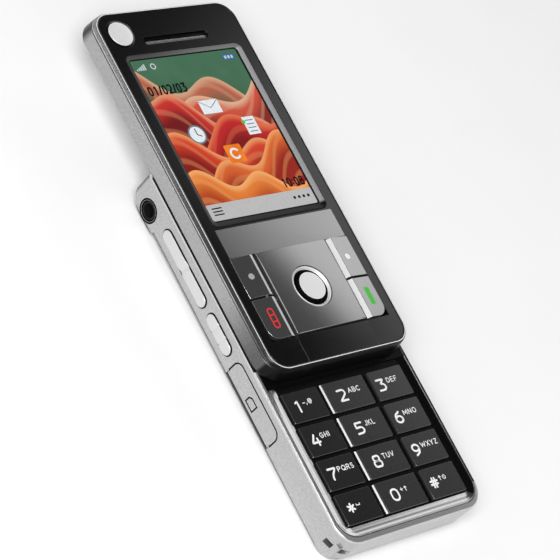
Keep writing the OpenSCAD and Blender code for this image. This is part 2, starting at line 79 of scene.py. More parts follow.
# --------------------------------------------------------------- materials
class Net:
    """A small helper around one material's node tree."""

    def __init__(self, name):
        self.m = bpy.data.materials.new(name)
        self.m.use_nodes = True
        self.t = self.m.node_tree
        self.t.nodes.clear()
        self.out = self.t.nodes.new("ShaderNodeOutputMaterial")
        self.bsdf = self.t.nodes.new("ShaderNodeBsdfPrincipled")
        self.t.links.new(self.bsdf.outputs[0], self.out.inputs[0])
        self.tc = self.t.nodes.new("ShaderNodeTexCoord")

    def n(self, kind, **kw):
        x = self.t.nodes.new(kind)
        for k, v in kw.items():
            setattr(x, k, v)
        return x

    def l(self, a, b):
        self.t.links.new(a, b)

    def coords(self, scale=(1, 1, 1), rot=(0, 0, 0)):
        mp = self.n("ShaderNodeMapping")
        mp.inputs["Scale"].default_value = scale
        mp.inputs["Rotation"].default_value = rot
        self.l(self.tc.outputs["Object"], mp.inputs["Vector"])
        return mp.outputs["Vector"]

    def noise(self, scale, detail=2.0, rough=0.5, vec=None):
        x = self.n("ShaderNodeTexNoise")
        x.inputs["Scale"].default_value = scale
        x.inputs["Detail"].default_value = detail
        x.inputs["Roughness"].default_value = rough
        self.l(vec if vec is not None else self.tc.outputs["Object"], x.inputs["Vector"])
        return x.outputs["Fac"]

    def remap(self, fac, a, b, lo, hi, smooth=False):
        x = self.n("ShaderNodeMapRange")
        x.interpolation_type = "SMOOTHSTEP" if smooth else "LINEAR"
        x.inputs["From Min"].default_value = a
        x.inputs["From Max"].default_value = b
        x.inputs["To Min"].default_value = lo
        x.inputs["To Max"].default_value = hi
        self.l(fac, x.inputs["Value"])
        return x.outputs["Result"]

    def mix(self, fac, c1, c2, blend="MIX"):
        x = self.n("ShaderNodeMix", data_type="RGBA", blend_type=blend)
        if isinstance(fac, (int, float)):
            x.inputs["Factor"].default_value = fac
        else:
            self.l(fac, x.inputs["Factor"])
        for s, c in (("A", c1), ("B", c2)):
            sock = [i for i in x.inputs if i.name == s and i.type == "RGBA"][0]
            if isinstance(c, (tuple, list)):
                sock.default_value = (c[0], c[1], c[2], 1)
            else:
                self.l(c, sock)
        return [o for o in x.outputs if o.type == "RGBA"][0]

    def math(self, op, a, b=None, c=None):
        x = self.n("ShaderNodeMath", operation=op)
        for i, v in enumerate((a, b, c)):
            if v is None:
                continue
            if isinstance(v, (int, float)):
                x.inputs[i].default_value = v
            else:
                self.l(v, x.inputs[i])
        return x.outputs[0]

    def bump(self, height, strength, distance, normal=None):
        x = self.n("ShaderNodeBump")
        x.inputs["Strength"].default_value = strength
        x.inputs["Distance"].default_value = distance
        self.l(height, x.inputs["Height"])
        if normal is not None:
            self.l(normal, x.inputs["Normal"])
        self.l(x.outputs[0], self.bsdf.inputs["Normal"])
        return x.outputs[0]

    def set(self, **kw):
        for k, v in kw.items():
            self.bsdf.inputs[k.replace("_", " ")].default_value = v


def surface(name, c1, c2, rough, metal=0.0, scale=4000.0, r_var=0.04, bump=0.25, bump_d=4e-6,
            bump_scale=None, stretch=(1, 1, 1), spec=0.5, coat=0.0, coat_r=0.05, big=0.0):
    """Two-tone grain, varied roughness and a fine bump, all from object coordinates."""
    k = Net(name)
    v = k.coords(stretch)
    g = k.noise(scale, 3.0, 0.6, v)
    g = k.remap(g, 0.3, 0.7, 0.0, 1.0)
    col = k.mix(g, c1, c2)
    if big:
        b = k.noise(60.0, 2.0, 0.5)
        b = k.remap(b, 0.3, 0.7, 1.0 - big, 1.0)
        dark = tuple(c * (1 - big) for c in c1)
        col = k.mix(b, dark, col)
    k.l(col, k.bsdf.inputs["Base Color"])
    r = k.noise(scale * 0.35, 2.0, 0.5, v)
    k.l(k.remap(r, 0.3, 0.7, max(0.01, rough - r_var), rough + r_var), k.bsdf.inputs["Roughness"])
    if bump:
        h = k.noise(bump_scale or scale, 3.0, 0.6, v)
        k.bump(h, bump, bump_d)
    k.set(Metallic=metal, Specular_IOR_Level=spec, Coat_Weight=coat, Coat_Roughness=coat_r)
    return k.m


M = {}
M["silver_key"] = surface("silver_side_key", (0.56, 0.56, 0.56), (0.63, 0.63, 0.63), 0.36, metal=0.6, scale=5200, r_var=0.02, bump=0.0)
M["rim"] = surface("satin_rim", (0.50, 0.50, 0.505), (0.68, 0.68, 0.685), 0.32, metal=0.85, scale=4600, r_var=0.03, bump=0.10, bump_d=2e-6)
# painted highlight: near-white colour for the slider frame's crest line
M["edge"] = surface("frame_crest_painted_highlight", (0.82, 0.82, 0.82), (0.90, 0.90, 0.90), 0.42, metal=0.1, scale=4200, r_var=0.03, bump=0.05, bump_d=1e-6)
M["gloss_black"] = surface("gloss_black_panel", (0.003, 0.003, 0.0035), (0.005, 0.005, 0.0055), 0.05, scale=900, r_var=0.006, bump=0.0, spec=0.66)
M["satin_black"] = surface("satin_black_plastic", (0.010, 0.010, 0.011), (0.020, 0.020, 0.021), 0.38, scale=3500, bump=0.25, bump_d=5e-6)
# black of the keypad base, also used as painted shade on the rim, the surround, the trims and the earpiece bed
M["base_black_and_shade"] = surface("keypad_base_black_and_painted_shade", (0.002, 0.002, 0.002), (0.004, 0.004, 0.004), 0.26, scale=3000, bump=0.06, bump_d=2e-6, spec=0.1)
M["nav"] = surface("grey_metallic_gloss", (0.42, 0.42, 0.425), (0.45, 0.45, 0.455), 0.09, metal=0.93, scale=5200, r_var=0.008, bump=0.0)
M["key"] = surface("number_key_dark_gloss", (0.024, 0.024, 0.025), (0.032, 0.032, 0.033), 0.11, scale=3200, r_var=0.01, bump=0.0, spec=0.8)
# painted shade: darker copy of the number key material for the left column
M["key_shaded"] = surface("number_key_painted_shade", (0.012, 0.012, 0.012), (0.017, 0.017, 0.017), 0.11, scale=3200, r_var=0.01, bump=0.0, spec=0.8)
M["chrome"] = surface("chrome_trim", (0.84, 0.84, 0.85), (0.90, 0.90, 0.90), 0.10, metal=1.0, scale=1500, r_var=0.015, bump=0.0)
M["button"] = surface("select_button_satin_silver", (0.80, 0.80, 0.80), (0.88, 0.88, 0.88), 0.42, metal=0.35, scale=5200, r_var=0.02, bump=0.03, bump_d=1e-6)
M["flank"] = surface("bright_key_flank", (0.72, 0.72, 0.72), (0.80, 0.80, 0.80), 0.30, metal=0.2, scale=2800, r_var=0.02, bump=0.0)
M["surround"] = surface("keypad_surround_chrome", (0.70, 0.70, 0.705), (0.80, 0.80, 0.80), 0.15, metal=1.0, scale=2600, r_var=0.015, bump=0.0)
M["disc"] = surface("satin_disc", (0.76, 0.76, 0.76), (0.84, 0.84, 0.84), 0.33, metal=0.3, scale=5200, bump=0.04, bump_d=1e-6)
M["steel"] = surface("stamped_steel", (0.42, 0.42, 0.43), (0.56, 0.56, 0.57), 0.32, metal=1.0, scale=1800, r_var=0.06, bump=0.25, bump_d=4e-6, stretch=(1, 0.08, 1))
M["steel_dark"] = surface("blackened_steel", (0.10, 0.10, 0.10), (0.16, 0.16, 0.165), 0.35, metal=0.9, scale=3000, bump=0.2)
M["socket"] = surface("socket_dark_plastic", (0.006, 0.006, 0.006), (0.012, 0.012, 0.012), 0.3, scale=3000, bump=0.05, bump_d=2e-6, spec=0.15)
# gloss black of the headset ring, also used as painted shade on the select ring and its button
M["black_ring_and_shade"] = surface("gloss_black_ring_and_painted_shade", (0.003, 0.003, 0.003), (0.006, 0.006, 0.006), 0.22, scale=3000, r_var=0.02, bump=0.0, spec=0.0)
M["ring"] = surface("select_ring_bright_satin", (0.80, 0.80, 0.80), (0.90, 0.90, 0.90), 0.48, metal=0.45, scale=5200, r_var=0.02, bump=0.0)
# painted highlight for the headset socket's ring
M["ring_line"] = surface("socket_ring_line_grey", (0.30, 0.30, 0.30), (0.40, 0.40, 0.40), 0.3, metal=0.5, scale=3000, bump=0.0)
M["lens"] = surface("camera_window_coated", (0.008, 0.010, 0.016), (0.012, 0.014, 0.022), 0.05, scale=1200, r_var=0.01, bump=0.0, spec=0.9, coat=0.6, coat_r=0.02)
M["rubber"] = surface("silicone_grey", (0.22, 0.22, 0.23), (0.30, 0.30, 0.31), 0.6, scale=2000, bump=0.3, bump_d=1e-5)
M["film"] = surface("dome_film", (0.50, 0.49, 0.40), (0.62, 0.60, 0.48), 0.4, scale=1500, bump=0.1)
M["board"] = surface("circuit_board_green", (0.010, 0.075, 0.035), (0.02, 0.13, 0.06), 0.35, scale=1600, bump=0.3, bump_d=1e-5)
M["battery"] = surface("battery_label_film", (0.14, 0.16, 0.19), (0.18, 0.20, 0.24), 0.42, scale=2000, bump=0.1)
M["grey"] = surface("moulded_grey_plastic", (0.30, 0.30, 0.31), (0.38, 0.38, 0.39), 0.45, scale=2400, bump=0.25)
M["copper"] = surface("antenna_foil", (0.55, 0.34, 0.15), (0.68, 0.45, 0.22), 0.3, metal=1.0, scale=2000)
M["flex"] = surface("flex_film_amber", (0.40, 0.16, 0.02), (0.52, 0.22, 0.035), 0.25, scale=1200, bump=0.1)
M["white_ink"] = surface("legend_ink_white", (0.80, 0.80, 0.80), (0.90, 0.90, 0.90), 0.45, scale=6000, bump=0.0)
M["letter_ink"] = surface("legend_ink_letters", (0.80, 0.80, 0.80), (0.88, 0.88, 0.88), 0.45, scale=6000, bump=0.0)
M["grey_ink"] = surface("legend_ink_grey", (0.50, 0.50, 0.50), (0.60, 0.60, 0.60), 0.45, scale=6000, bump=0.0)
M["dot_ink"] = surface("legend_dot_grey", (0.30, 0.30, 0.30), (0.38, 0.38, 0.38), 0.45, scale=6000, bump=0.0)
M["red_ink"] = surface("legend_ink_red", (0.55, 0.018, 0.02), (0.66, 0.03, 0.03), 0.45, scale=6000, bump=0.0)
M["green_ink"] = surface("legend_ink_green", (0.06, 0.44, 0.05), (0.09, 0.54, 0.07), 0.45, scale=6000, bump=0.0)
# black used as painted shade in joints, gaps and recesses
M["groove"] = surface("seam_shadow_black", (0.003, 0.003, 0.003), (0.006, 0.006, 0.006), 0.6, scale=3000, bump=0.1, spec=0.1)


def metal_with_painted_shade(name, c1, c2, scale, rough, fade=None, top=None, near=None, under=None, bump=0.25, bump_d=5e-6, metal=0.85):
    """Metallic colour with painted shade that runs it into black over the rounded corners, along the near end and
    towards the underside.
    """
    k = Net(name)
    g = k.remap(k.noise(scale, 3.0, 0.6), 0.3, 0.7, 0.0, 1.0)
    col = k.mix(g, c1, c2)
    sep = k.n("ShaderNodeSeparateXYZ")
    k.l(k.tc.outputs["Normal"], sep.inputs[0])
    parts = []
    if fade:
        parts.append(k.remap(sep.outputs["Y"], fade[0], fade[1], 0.0, 0.985, True))
    if top:
        parts.append(k.remap(sep.outputs["Y"], top[0], top[1], 0.0, 0.94, True))
    if under:
        parts.append(k.remap(sep.outputs["Z"], under[0], under[1], 0.0, under[2], True))
    if near:
        pos = k.n("ShaderNodeSeparateXYZ")
        k.l(k.tc.outputs["Object"], pos.inputs[0])
        parts.append(k.remap(k.math("MULTIPLY", pos.outputs["Y"], 1000.0), near[0], near[1], 0.0, near[2], True))
    f = parts[0]
    for q in parts[1:]:
        f = k.math("MAXIMUM", f, q)
    # painted shade: the combined mask mixes the colour towards black
    k.l(k.mix(f, col, (0.005, 0.005, 0.005)), k.bsdf.inputs["Base Color"])
    k.l(k.remap(k.noise(2000, 2.0), 0.3, 0.7, rough - 0.03, rough + 0.03), k.bsdf.inputs["Roughness"])
    k.bump(k.noise(scale, 3.0, 0.6), bump, bump_d)
    k.set(Metallic=metal, Specular_IOR_Level=0.4)
    return k.m


# silver with painted shade: darker on faces turned towards +Y, in a band at y 28.2 to 29.6 mm and on faces turned
# downwards
M["silver"] = metal_with_painted_shade("silver_satin_painted_shade", (0.36, 0.36, 0.365), (0.58, 0.58, 0.585), 4600, 0.33, top=(0.04, 0.70), near=(28.2, 29.6, 0.85), under=(-0.02, -0.36, 0.90))
# slider shell with painted shade: black on faces turned towards -Y, darker on faces turned towards +Y and towards the
# slider's -Y end
M["shell"] = metal_with_painted_shade("slider_shell_silver_painted_shade", (0.27, 0.27, 0.275), (0.50, 0.50, 0.505), 4600, 0.34, (-0.02, -0.42), (0.03, 0.52), (-3.0, -24.0, 0.72))
# frame grain with painted shade: black on faces turned towards -Y and darker towards -Y along the slider
M["frame"] = metal_with_painted_shade("dark_frame_grain_painted_shade", (0.06, 0.06, 0.062), (0.42, 0.42, 0.43), 3900, 0.36, (-0.04, -0.42), None, (62.0, -4.0, 0.86), bump=0.30, bump_d=8e-6, metal=0.8)


# painted highlight for the frame's lower outer edge, with painted shade towards -Y
M["edge_side"] = metal_with_painted_shade("frame_lower_edge_painted_highlight", (0.44, 0.44, 0.44), (0.56, 0.56, 0.56), 4200, 0.36, (-0.10, -0.50), None, (-2.0, -24.0, 0.8), bump=0.05, metal=0.6)


def bezel():
    """Sloped ring round the picture with painted light and shade: dark grey on the left, black below, lighter towards
    the top and the right.
    """
    k = Net("display_bezel_painted_light_and_shade")
    g = k.remap(k.noise(4500, 2.0), 0.3, 0.7, 0.85, 1.0)
    pos = k.n("ShaderNodeSeparateXYZ")
    k.l(k.tc.outputs["Object"], pos.inputs[0])
    x = k.math("MULTIPLY", pos.outputs["X"], 1000.0 / 17.6)
    y = k.math("MULTIPLY", k.math("SUBTRACT", pos.outputs["Y"], (UP + 12.9) * MM), 1000.0 / 23.3)
    side = k.mix(k.remap(x, -0.3, 0.9, 0.0, 1.0, True), (0.040, 0.040, 0.042), (0.34, 0.34, 0.35))
    far = k.mix(k.remap(x, -0.9, 0.9, 0.0, 1.0, True), (0.065, 0.065, 0.067), (0.20, 0.20, 0.205))
    col = k.mix(k.remap(y, 0.955, 0.985, 0.0, 1.0, True), side, far)
    col = k.mix(k.remap(y, -0.935, -0.975, 0.0, 1.0, True), col, (0.003, 0.003, 0.003))
    k.l(k.mix(g, (0.002, 0.002, 0.002), col), k.bsdf.inputs["Base Color"])
    k.l(k.remap(g, 0.85, 1.0, 0.34, 0.42), k.bsdf.inputs["Roughness"])
    k.set(Metallic=0.3, Specular_IOR_Level=0.25)
    return k.m


M["bezel"] = bezel()


def mesh_weave():
    """Fine woven metal gauze."""
    k = Net("earpiece_gauze")
    v = k.coords((1, 1, 1), (0, 0, math.radians(45)))
    w = k.n("ShaderNodeTexChecker")
    w.inputs["Scale"].default_value = 5200
    k.l(v, w.inputs["Vector"])
    g = k.noise(5200, 2.0)
    col = k.mix(k.remap(g, 0.3, 0.7, 0.0, 1.0), (0.35, 0.35, 0.35), (0.75, 0.75, 0.75))
    k.l(k.mix(w.outputs["Fac"], (0.01, 0.01, 0.01), col), k.bsdf.inputs["Base Color"])
    k.l(k.remap(g, 0.3, 0.7, 0.25, 0.45), k.bsdf.inputs["Roughness"])
    k.bump(w.outputs["Fac"], 0.6, 3e-5)
    k.set(Metallic=0.8)
    return k.m


M["gauze"] = mesh_weave()

LOOK = {
    "silver_metal": "silver", "bright_rim": "rim", "silver_key": "silver_key", "black_plastic": "satin_black",
    "gloss_black": "gloss_black", "dark_metal": "frame", "dark_bezel": "bezel", "display_glass": "groove",
    "grey_gloss": "nav", "key_plastic": "key", "chrome_trim": "chrome", "mesh_metal": "gauze", "satin_disc": "disc",
    "steel": "steel", "steel_dark": "steel_dark", "lens_glass": "lens", "rubber_grey": "rubber", "clear_film": "film",
    "circuit_board": "board", "battery_case": "battery", "grey_plastic": "grey", "copper_foil": "copper", "flex_film": "flex",
}
# keys 1, 4, 7 and * take the darker key copy as painted shade
SPECIAL = {"front_cover": "base_black_and_shade", "keypad_surround": "surround", "headset_jack": "socket", "jack_ring": "black_ring_and_shade", "slider_shell": "shell", "select_key": "button", "select_ring": "ring", "key_1": "key_shaded", "key_4": "key_shaded", "key_7": "key_shaded", "key_star": "key_shaded", "keypad_trims": "flank"}


def look_of(node):
    return M[SPECIAL.get(node, LOOK[SLOT[node]])]


for _n, _o in NODES.items():
    _o.data.materials.clear()
    _o.data.materials.append(look_of(_n))


# ------------------------------------------------------------------ pieces
def link(obj, body):
    coll.objects.link(obj)
    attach(obj, body)
    return obj


def weighted(o):
    w = o.modifiers.new("weight", "WEIGHTED_NORMAL")
    w.keep_sharp = True
    return o


def finish_mesh(bm, name, mats, sharp=35.0):
    bmesh.ops.recalc_face_normals(bm, faces=bm.faces)
    me = bpy.data.meshes.new(name)
    bm.to_mesh(me)
    bm.free()
    for m in mats:
        me.materials.append(m)
    for p in me.polygons:
        p.use_smooth = True
    me.set_sharp_from_angle(angle=math.radians(sharp))
    return bpy.data.objects.new(name, me)


def refine(node, bevel=0.06, angle=30.0, segs=2, sharp=35.0, paint=None, name=None, cuts=()):
    """A finer copy of a CAD node: welded, its flats merged, edges eased, shaded smooth."""
    src = NODES[node]
    bm = bmesh.new()
    bm.from_mesh(src.data)
    for lay in list(bm.loops.layers.float_vector.values()):
        bm.loops.layers.float_vector.remove(lay)
    bmesh.ops.remove_doubles(bm, verts=bm.verts, dist=2e-7)
    bmesh.ops.dissolve_limit(bm, angle_limit=math.radians(0.4), verts=bm.verts, edges=bm.edges)
    for at, across in cuts:
        bmesh.ops.bisect_plane(bm, geom=bm.verts[:] + bm.edges[:] + bm.faces[:], dist=1e-6, plane_co=[at * a * MM for a in across], plane_no=across)
    mats = [look_of(node)]
    if paint:
        extra, test = paint
        mats.append(extra)
        for f in bm.faces:
            if test(f.normal, f.calc_center_median() * 1000):
                f.material_index = 1
    o = finish_mesh(bm, name or node + "_body", mats, sharp)
    a = o.data.attributes.get("custom_normal")
    if a:
        o.data.attributes.remove(a)
    if bevel:
        b = o.modifiers.new("ease", "BEVEL")
        b.width = bevel * MM
        b.segments = segs
        b.limit_method = "ANGLE"
        b.angle_limit = math.radians(angle)
        b.use_clamp_overlap = True
        b.harden_normals = False
    w = o.modifiers.new("weight", "WEIGHTED_NORMAL")
    w.keep_sharp = True
    link(o, BODY[node])
    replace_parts(o, node)
    return o


def inside(c, x0, x1, y0, y1, z0, z1):
    return x0 < c.x < x1 and y0 < c.y < y1 and z0 < c.z < z1


def recess_painted_shade(n, c):
    """Walls of the openings in the housing's sides, which take black painted shade."""
    for y0, y1, z0, z1 in ((-5.5, 16.0, 4.2, 8.3), (-18.4, -6.8, 4.2, 8.3), (-40.8, -20.5, 3.4, 8.3)):
        if inside(c, -23.3, -21.8, y0, y1, z0, z1):
            return True
    return inside(c, 21.8, 23.3, -51.9, -40.3, 4.2, 8.3) or inside(c, -22.9, -22.2, 18.8, 25.9, 0.8, 7.6) or (inside(c, -23.1, -18.65, -70.1, -65.62, 4.95, 6.55) and math.hypot(c.x + 17.35, c.y + 64.35) < 5.75)


def round_corner(o, side, cx, cy, r, z0, z1):
    """Exact radial normals on the housing's two lower corners; the strap holes cut up the left one."""
    bpy.context.view_layer.update()
    me = bpy.data.meshes.new_from_object(o.evaluated_get(bpy.context.evaluated_depsgraph_get()))
    me.name = o.name
    o.modifiers.clear()
    o.data = me
    ns = [tuple(n.vector) for n in me.corner_normals]
    for f in me.polygons:
        for li in f.loop_indices:
            v = me.vertices[me.loops[li].vertex_index].co / MM
            dx, dy = v.x - cx, v.y - cy
            d = math.hypot(dx, dy)
            if side * dx > -0.3 and dy < 0.3 and z0 < v.z < z1 and abs(d - r) < 0.035:
                q = Vector((side * max(side * dx, 0.0), min(dy, 0.0), 0.0)).normalized()
                if f.normal.dot(q) > 0.93:
                    ns[li] = tuple(q)
    me.normals_split_custom_set(ns)


housing = refine("rear_housing", 0.07, paint=(M["groove"], recess_painted_shade))
round_corner(housing, -1, -17.35, -64.35, 6.0, 1.35, 9.99)
round_corner(housing, 1, 17.35, -64.35, 6.0, 1.35, 9.99)
# the rim's flat top on the right side is painted black as shade
refine("lower_rim", 0.0, sharp=52, paint=(M["base_black_and_shade"], lambda n, c: n.z > 0.9 and c.x > 20 and c.y > -64.5), cuts=((20.0, (1, 0, 0)), (-64.5, (0, 1, 0))))
refine("front_cover", 0.03)
# the surround's chrome slopes on the right, facing the keys, are painted black as shade
refine("keypad_surround", 0.0, sharp=24, paint=(M["base_black_and_shade"], lambda n, c: n.x < -0.03 and -n.x > abs(n.y) and c.x > 15))
refine("battery_cover", 0.08)
# the sunken card sign on the door is painted black as shade
refine("card_door", 0.04, paint=(M["groove"], lambda n, c: inside(c, -23.32, -23.0, -32.2, -28.4, 3.6, 6.5)))
refine("jack_ring", 0.05, segs=3)
refine("headset_jack", 0.05)
refine("slider_shell", 0.10)
refine("front_panel", 0.04)
refine("slide_plate", 0.08)
refine("guide_plate", 0.06)
refine("camera_window", 0.05)
refine("camera_module", 0.05)
refine("loudspeaker", 0.05)
refine("usb_socket", 0.05)
refine("housing_screws", 0.04)
KEYS = ["key_1", "key_2", "key_3", "key_4", "key_5", "key_6", "key_7", "key_8", "key_9", "key_star", "key_0", "key_hash"]
for k in KEYS:
    refine(k, 0.03)
for k in ("soft_key_left", "end_key"):
    refine(k, 0.04, paint=(M["flank"], lambda n, c: n.x > 0.3 and n.z > 0.5))
for k in ("soft_key_right", "send_key"):
    refine(k, 0.04, paint=(M["flank"], lambda n, c: n.x < -0.3 and n.z > 0.5))


# ------------------------------------------------------- printed characters
def arc(cx, cy, rx, ry, a0, a1, n=8):
    return [(cx + rx * math.cos(math.radians(a0 + (a1 - a0) * i / n)),
             cy + ry * math.sin(math.radians(a0 + (a1 - a0) * i / n))) for i in range(n + 1)]


def ring(x0, y0, x1, y1, r, n=5):
    p = []
    for cx, cy, a in ((x1 - r, y1 - r, 0), (x0 + r, y1 - r, 90), (x0 + r, y0 + r, 180), (x1 - r, y0 + r, 270)):
        p += arc(cx, cy, r, r, a, a + 90, n)
    return p + [p[0]]


# digits in a box 1 wide and 1.12 high
DIG = {
    "1": [[(0.36, 0.98), (0.62, 1.10), (0.62, 0.0)]],
    "2": [[(0.02, 1.10), (0.55, 1.12)] + arc(0.66, 0.80, 0.30, 0.32, 80, -30, 6) + [(0.04, 0.0), (1.0, 0.0)]],
    "3": [[(0.03, 1.12), (0.92, 1.12), (0.47, 0.68)] + arc(0.58, 0.34, 0.38, 0.34, 75, -90, 9) + [(0.02, 0.0)]],
    "4": [[(0.50, 1.12), (0.02, 0.32), (1.0, 0.32)], [(0.76, 0.70), (0.76, 0.0)]],
    "5": [[(0.92, 1.12), (0.10, 1.12), (0.06, 0.62)] + arc(0.55, 0.34, 0.42, 0.32, 110, -90, 9) + [(0.02, 0.0)]],
    "6": [[(0.72, 1.12)] + arc(0.62, 0.42, 0.55, 0.62, 130, 178, 6) + arc(0.50, 0.34, 0.45, 0.34, 180, 540, 18)],
    "7": [[(0.0, 1.12), (0.95, 1.12)] + arc(1.25, 0.0, 0.95, 0.95, 125, 180, 6)],
    "8": [ring(0.10, 0.60, 0.88, 1.12, 0.22), ring(0.0, 0.0, 0.98, 0.60, 0.26)],
    "9": [[(0.28, 0.0)] + arc(0.38, 0.70, 0.55, 0.62, -50, -2, 6) + arc(0.50, 0.78, 0.45, 0.34, 0, 360, 18)],
    "0": [ring(0.04, 0.0, 0.96, 1.12, 0.40)],
    "*": [[(0.5, 0.18), (0.5, 1.0)], [(0.12, 0.38), (0.88, 0.80)], [(0.12, 0.80), (0.88, 0.38)]],
    "#": [[(0.34, 0.08), (0.42, 1.04)], [(0.66, 0.08), (0.74, 1.04)], [(0.06, 0.40), (0.96, 0.40)], [(0.08, 0.74), (0.98, 0.74)]],
}
# letters and signs in a box 1 high
LET = {
    "A": [[(0, 0), (0.4, 1), (0.8, 0)], [(0.14, 0.34), (0.66, 0.34)]],
    "B": [[(0, 0), (0, 1)] + arc(0.38, 0.76, 0.28, 0.24, 90, -90, 6) + arc(0.40, 0.26, 0.34, 0.26, 90, -90, 6) + [(0, 0)], [(0, 0.52), (0.38, 0.52)]],
    "C": [arc(0.46, 0.5, 0.44, 0.5, 48, 312, 12)],
    "D": [[(0, 0), (0, 1)] + arc(0.30, 0.5, 0.42, 0.5, 90, -90, 9) + [(0, 0)]],
    "E": [[(0.62, 1), (0, 1), (0, 0), (0.62, 0)], [(0, 0.52), (0.52, 0.52)]],
    "F": [[(0.62, 1), (0, 1), (0, 0)], [(0, 0.50), (0.52, 0.50)]],
    "G": [arc(0.46, 0.5, 0.44, 0.5, 48, 330, 12) + [(0.84, 0.48), (0.50, 0.48)]],
    "H": [[(0, 0), (0, 1)], [(0.70, 0), (0.70, 1)], [(0, 0.5), (0.70, 0.5)]],
    "I": [[(0, 0), (0, 1)]],
    "J": [[(0.46, 1), (0.46, 0.28)] + arc(0.23, 0.26, 0.23, 0.26, 0, -160, 6)],
    "K": [[(0, 0), (0, 1)], [(0.66, 1), (0.02, 0.46)], [(0.22, 0.62), (0.68, 0)]],
    "L": [[(0, 1), (0, 0), (0.58, 0)]],
    "M": [[(0, 0), (0.04, 1), (0.50, 0.22), (0.96, 1), (1.0, 0)]],
    "N": [[(0, 0), (0, 1), (0.80, 0), (0.80, 1)]],
    "O": [arc(0.46, 0.5, 0.46, 0.5, 0, 360, 16)],
    "P": [[(0, 0), (0, 1)] + arc(0.36, 0.73, 0.32, 0.27, 90, -90, 7) + [(0, 0.46)]],
    "Q": [arc(0.46, 0.5, 0.46, 0.5, 0, 360, 16), [(0.55, 0.25), (0.92, -0.05)]],
    "R": [[(0, 0), (0, 1)] + arc(0.36, 0.74, 0.30, 0.26, 90, -90, 7) + [(0, 0.48)], [(0.34, 0.48), (0.68, 0)]],
    "S": [arc(0.34, 0.75, 0.30, 0.25, 40, 250, 8) + arc(0.34, 0.26, 0.33, 0.26, 80, -140, 8)],
    "T": [[(0, 1), (0.76, 1)], [(0.38, 1), (0.38, 0)]],
    "U": [[(0, 1), (0, 0.32)] + arc(0.35, 0.34, 0.35, 0.34, 180, 360, 8) + [(0.70, 1)]],
    "V": [[(0, 1), (0.38, 0), (0.76, 1)]],
    "W": [[(0, 1), (0.30, 0), (0.62, 0.85), (0.94, 0), (1.24, 1)]],
    "X": [[(0, 0), (0.70, 1)], [(0, 1), (0.70, 0)]],
    "Y": [[(0, 1), (0.36, 0.48), (0.72, 1)], [(0.36, 0.48), (0.36, 0)]],
    "Z": [[(0, 1), (0.66, 1), (0, 0), (0.68, 0)]],
    "+": [[(0.05, 0.5), (0.65, 0.5)], [(0.35, 0.2), (0.35, 0.8)]],
    ".": [[(0.0, 0.0), (0.06, 0.0)]],
    "-": [[(0.0, 0.3), (0.5, 0.3)]],
    "_": [[(0.0, 0.35), (0.0, 0.05), (0.9, 0.05), (0.9, 0.35)]],
    "@": [arc(0.5, 0.45, 0.2, 0.2, 0, 360, 10), [(0.7, 0.62), (0.7, 0.28)] + arc(0.5, 0.45, 0.46, 0.5, -20, 300, 14)],
    "o": [arc(0.4, 0.42, 0.4, 0.4, 0, 360, 12), [(0.4, 0.42), (0.42, 0.42)]],
    ",": [[(0.10, 0.10), (0.0, -0.2)]],
    "^": [[(0.35, 0.0), (0.35, 0.95)], [(0.08, 0.62), (0.35, 0.95), (0.62, 0.62)]],
}
WID = {"I": 0.0, "J": 0.46, "L": 0.58, "E": 0.62, "F": 0.62, "W": 1.24, "M": 1.0, "N": 0.8, "O": 0.92, "Q": 0.92, "C": 0.82, "G": 0.88, "T": 0.76,
       "V": 0.76, "A": 0.80, "S": 0.66, "Y": 0.72, "+": 0.7, ".": 0.08, ",": 0.1, "^": 0.7, "-": 0.5, "@": 0.96, "_": 0.9, "o": 0.8}


def legs(lines):
    """The same lines cut at their sharp corners, where a swept stroke would run thin."""
    out = []
    for pts in lines:
        part = [pts[0]]
        for a, b, c in zip(pts, pts[1:], pts[2:]):
            part.append(b)
            v1 = Vector((b[0] - a[0], b[1] - a[1]))
            v2 = Vector((c[0] - b[0], c[1] - b[1]))
            if v1.length > 1e-4 and v2.length > 1e-4 and v1.angle(v2) > 0.6:
                out.append(part)
                part = [b]
        part.append(pts[-1])
        out.append(part)
    return out


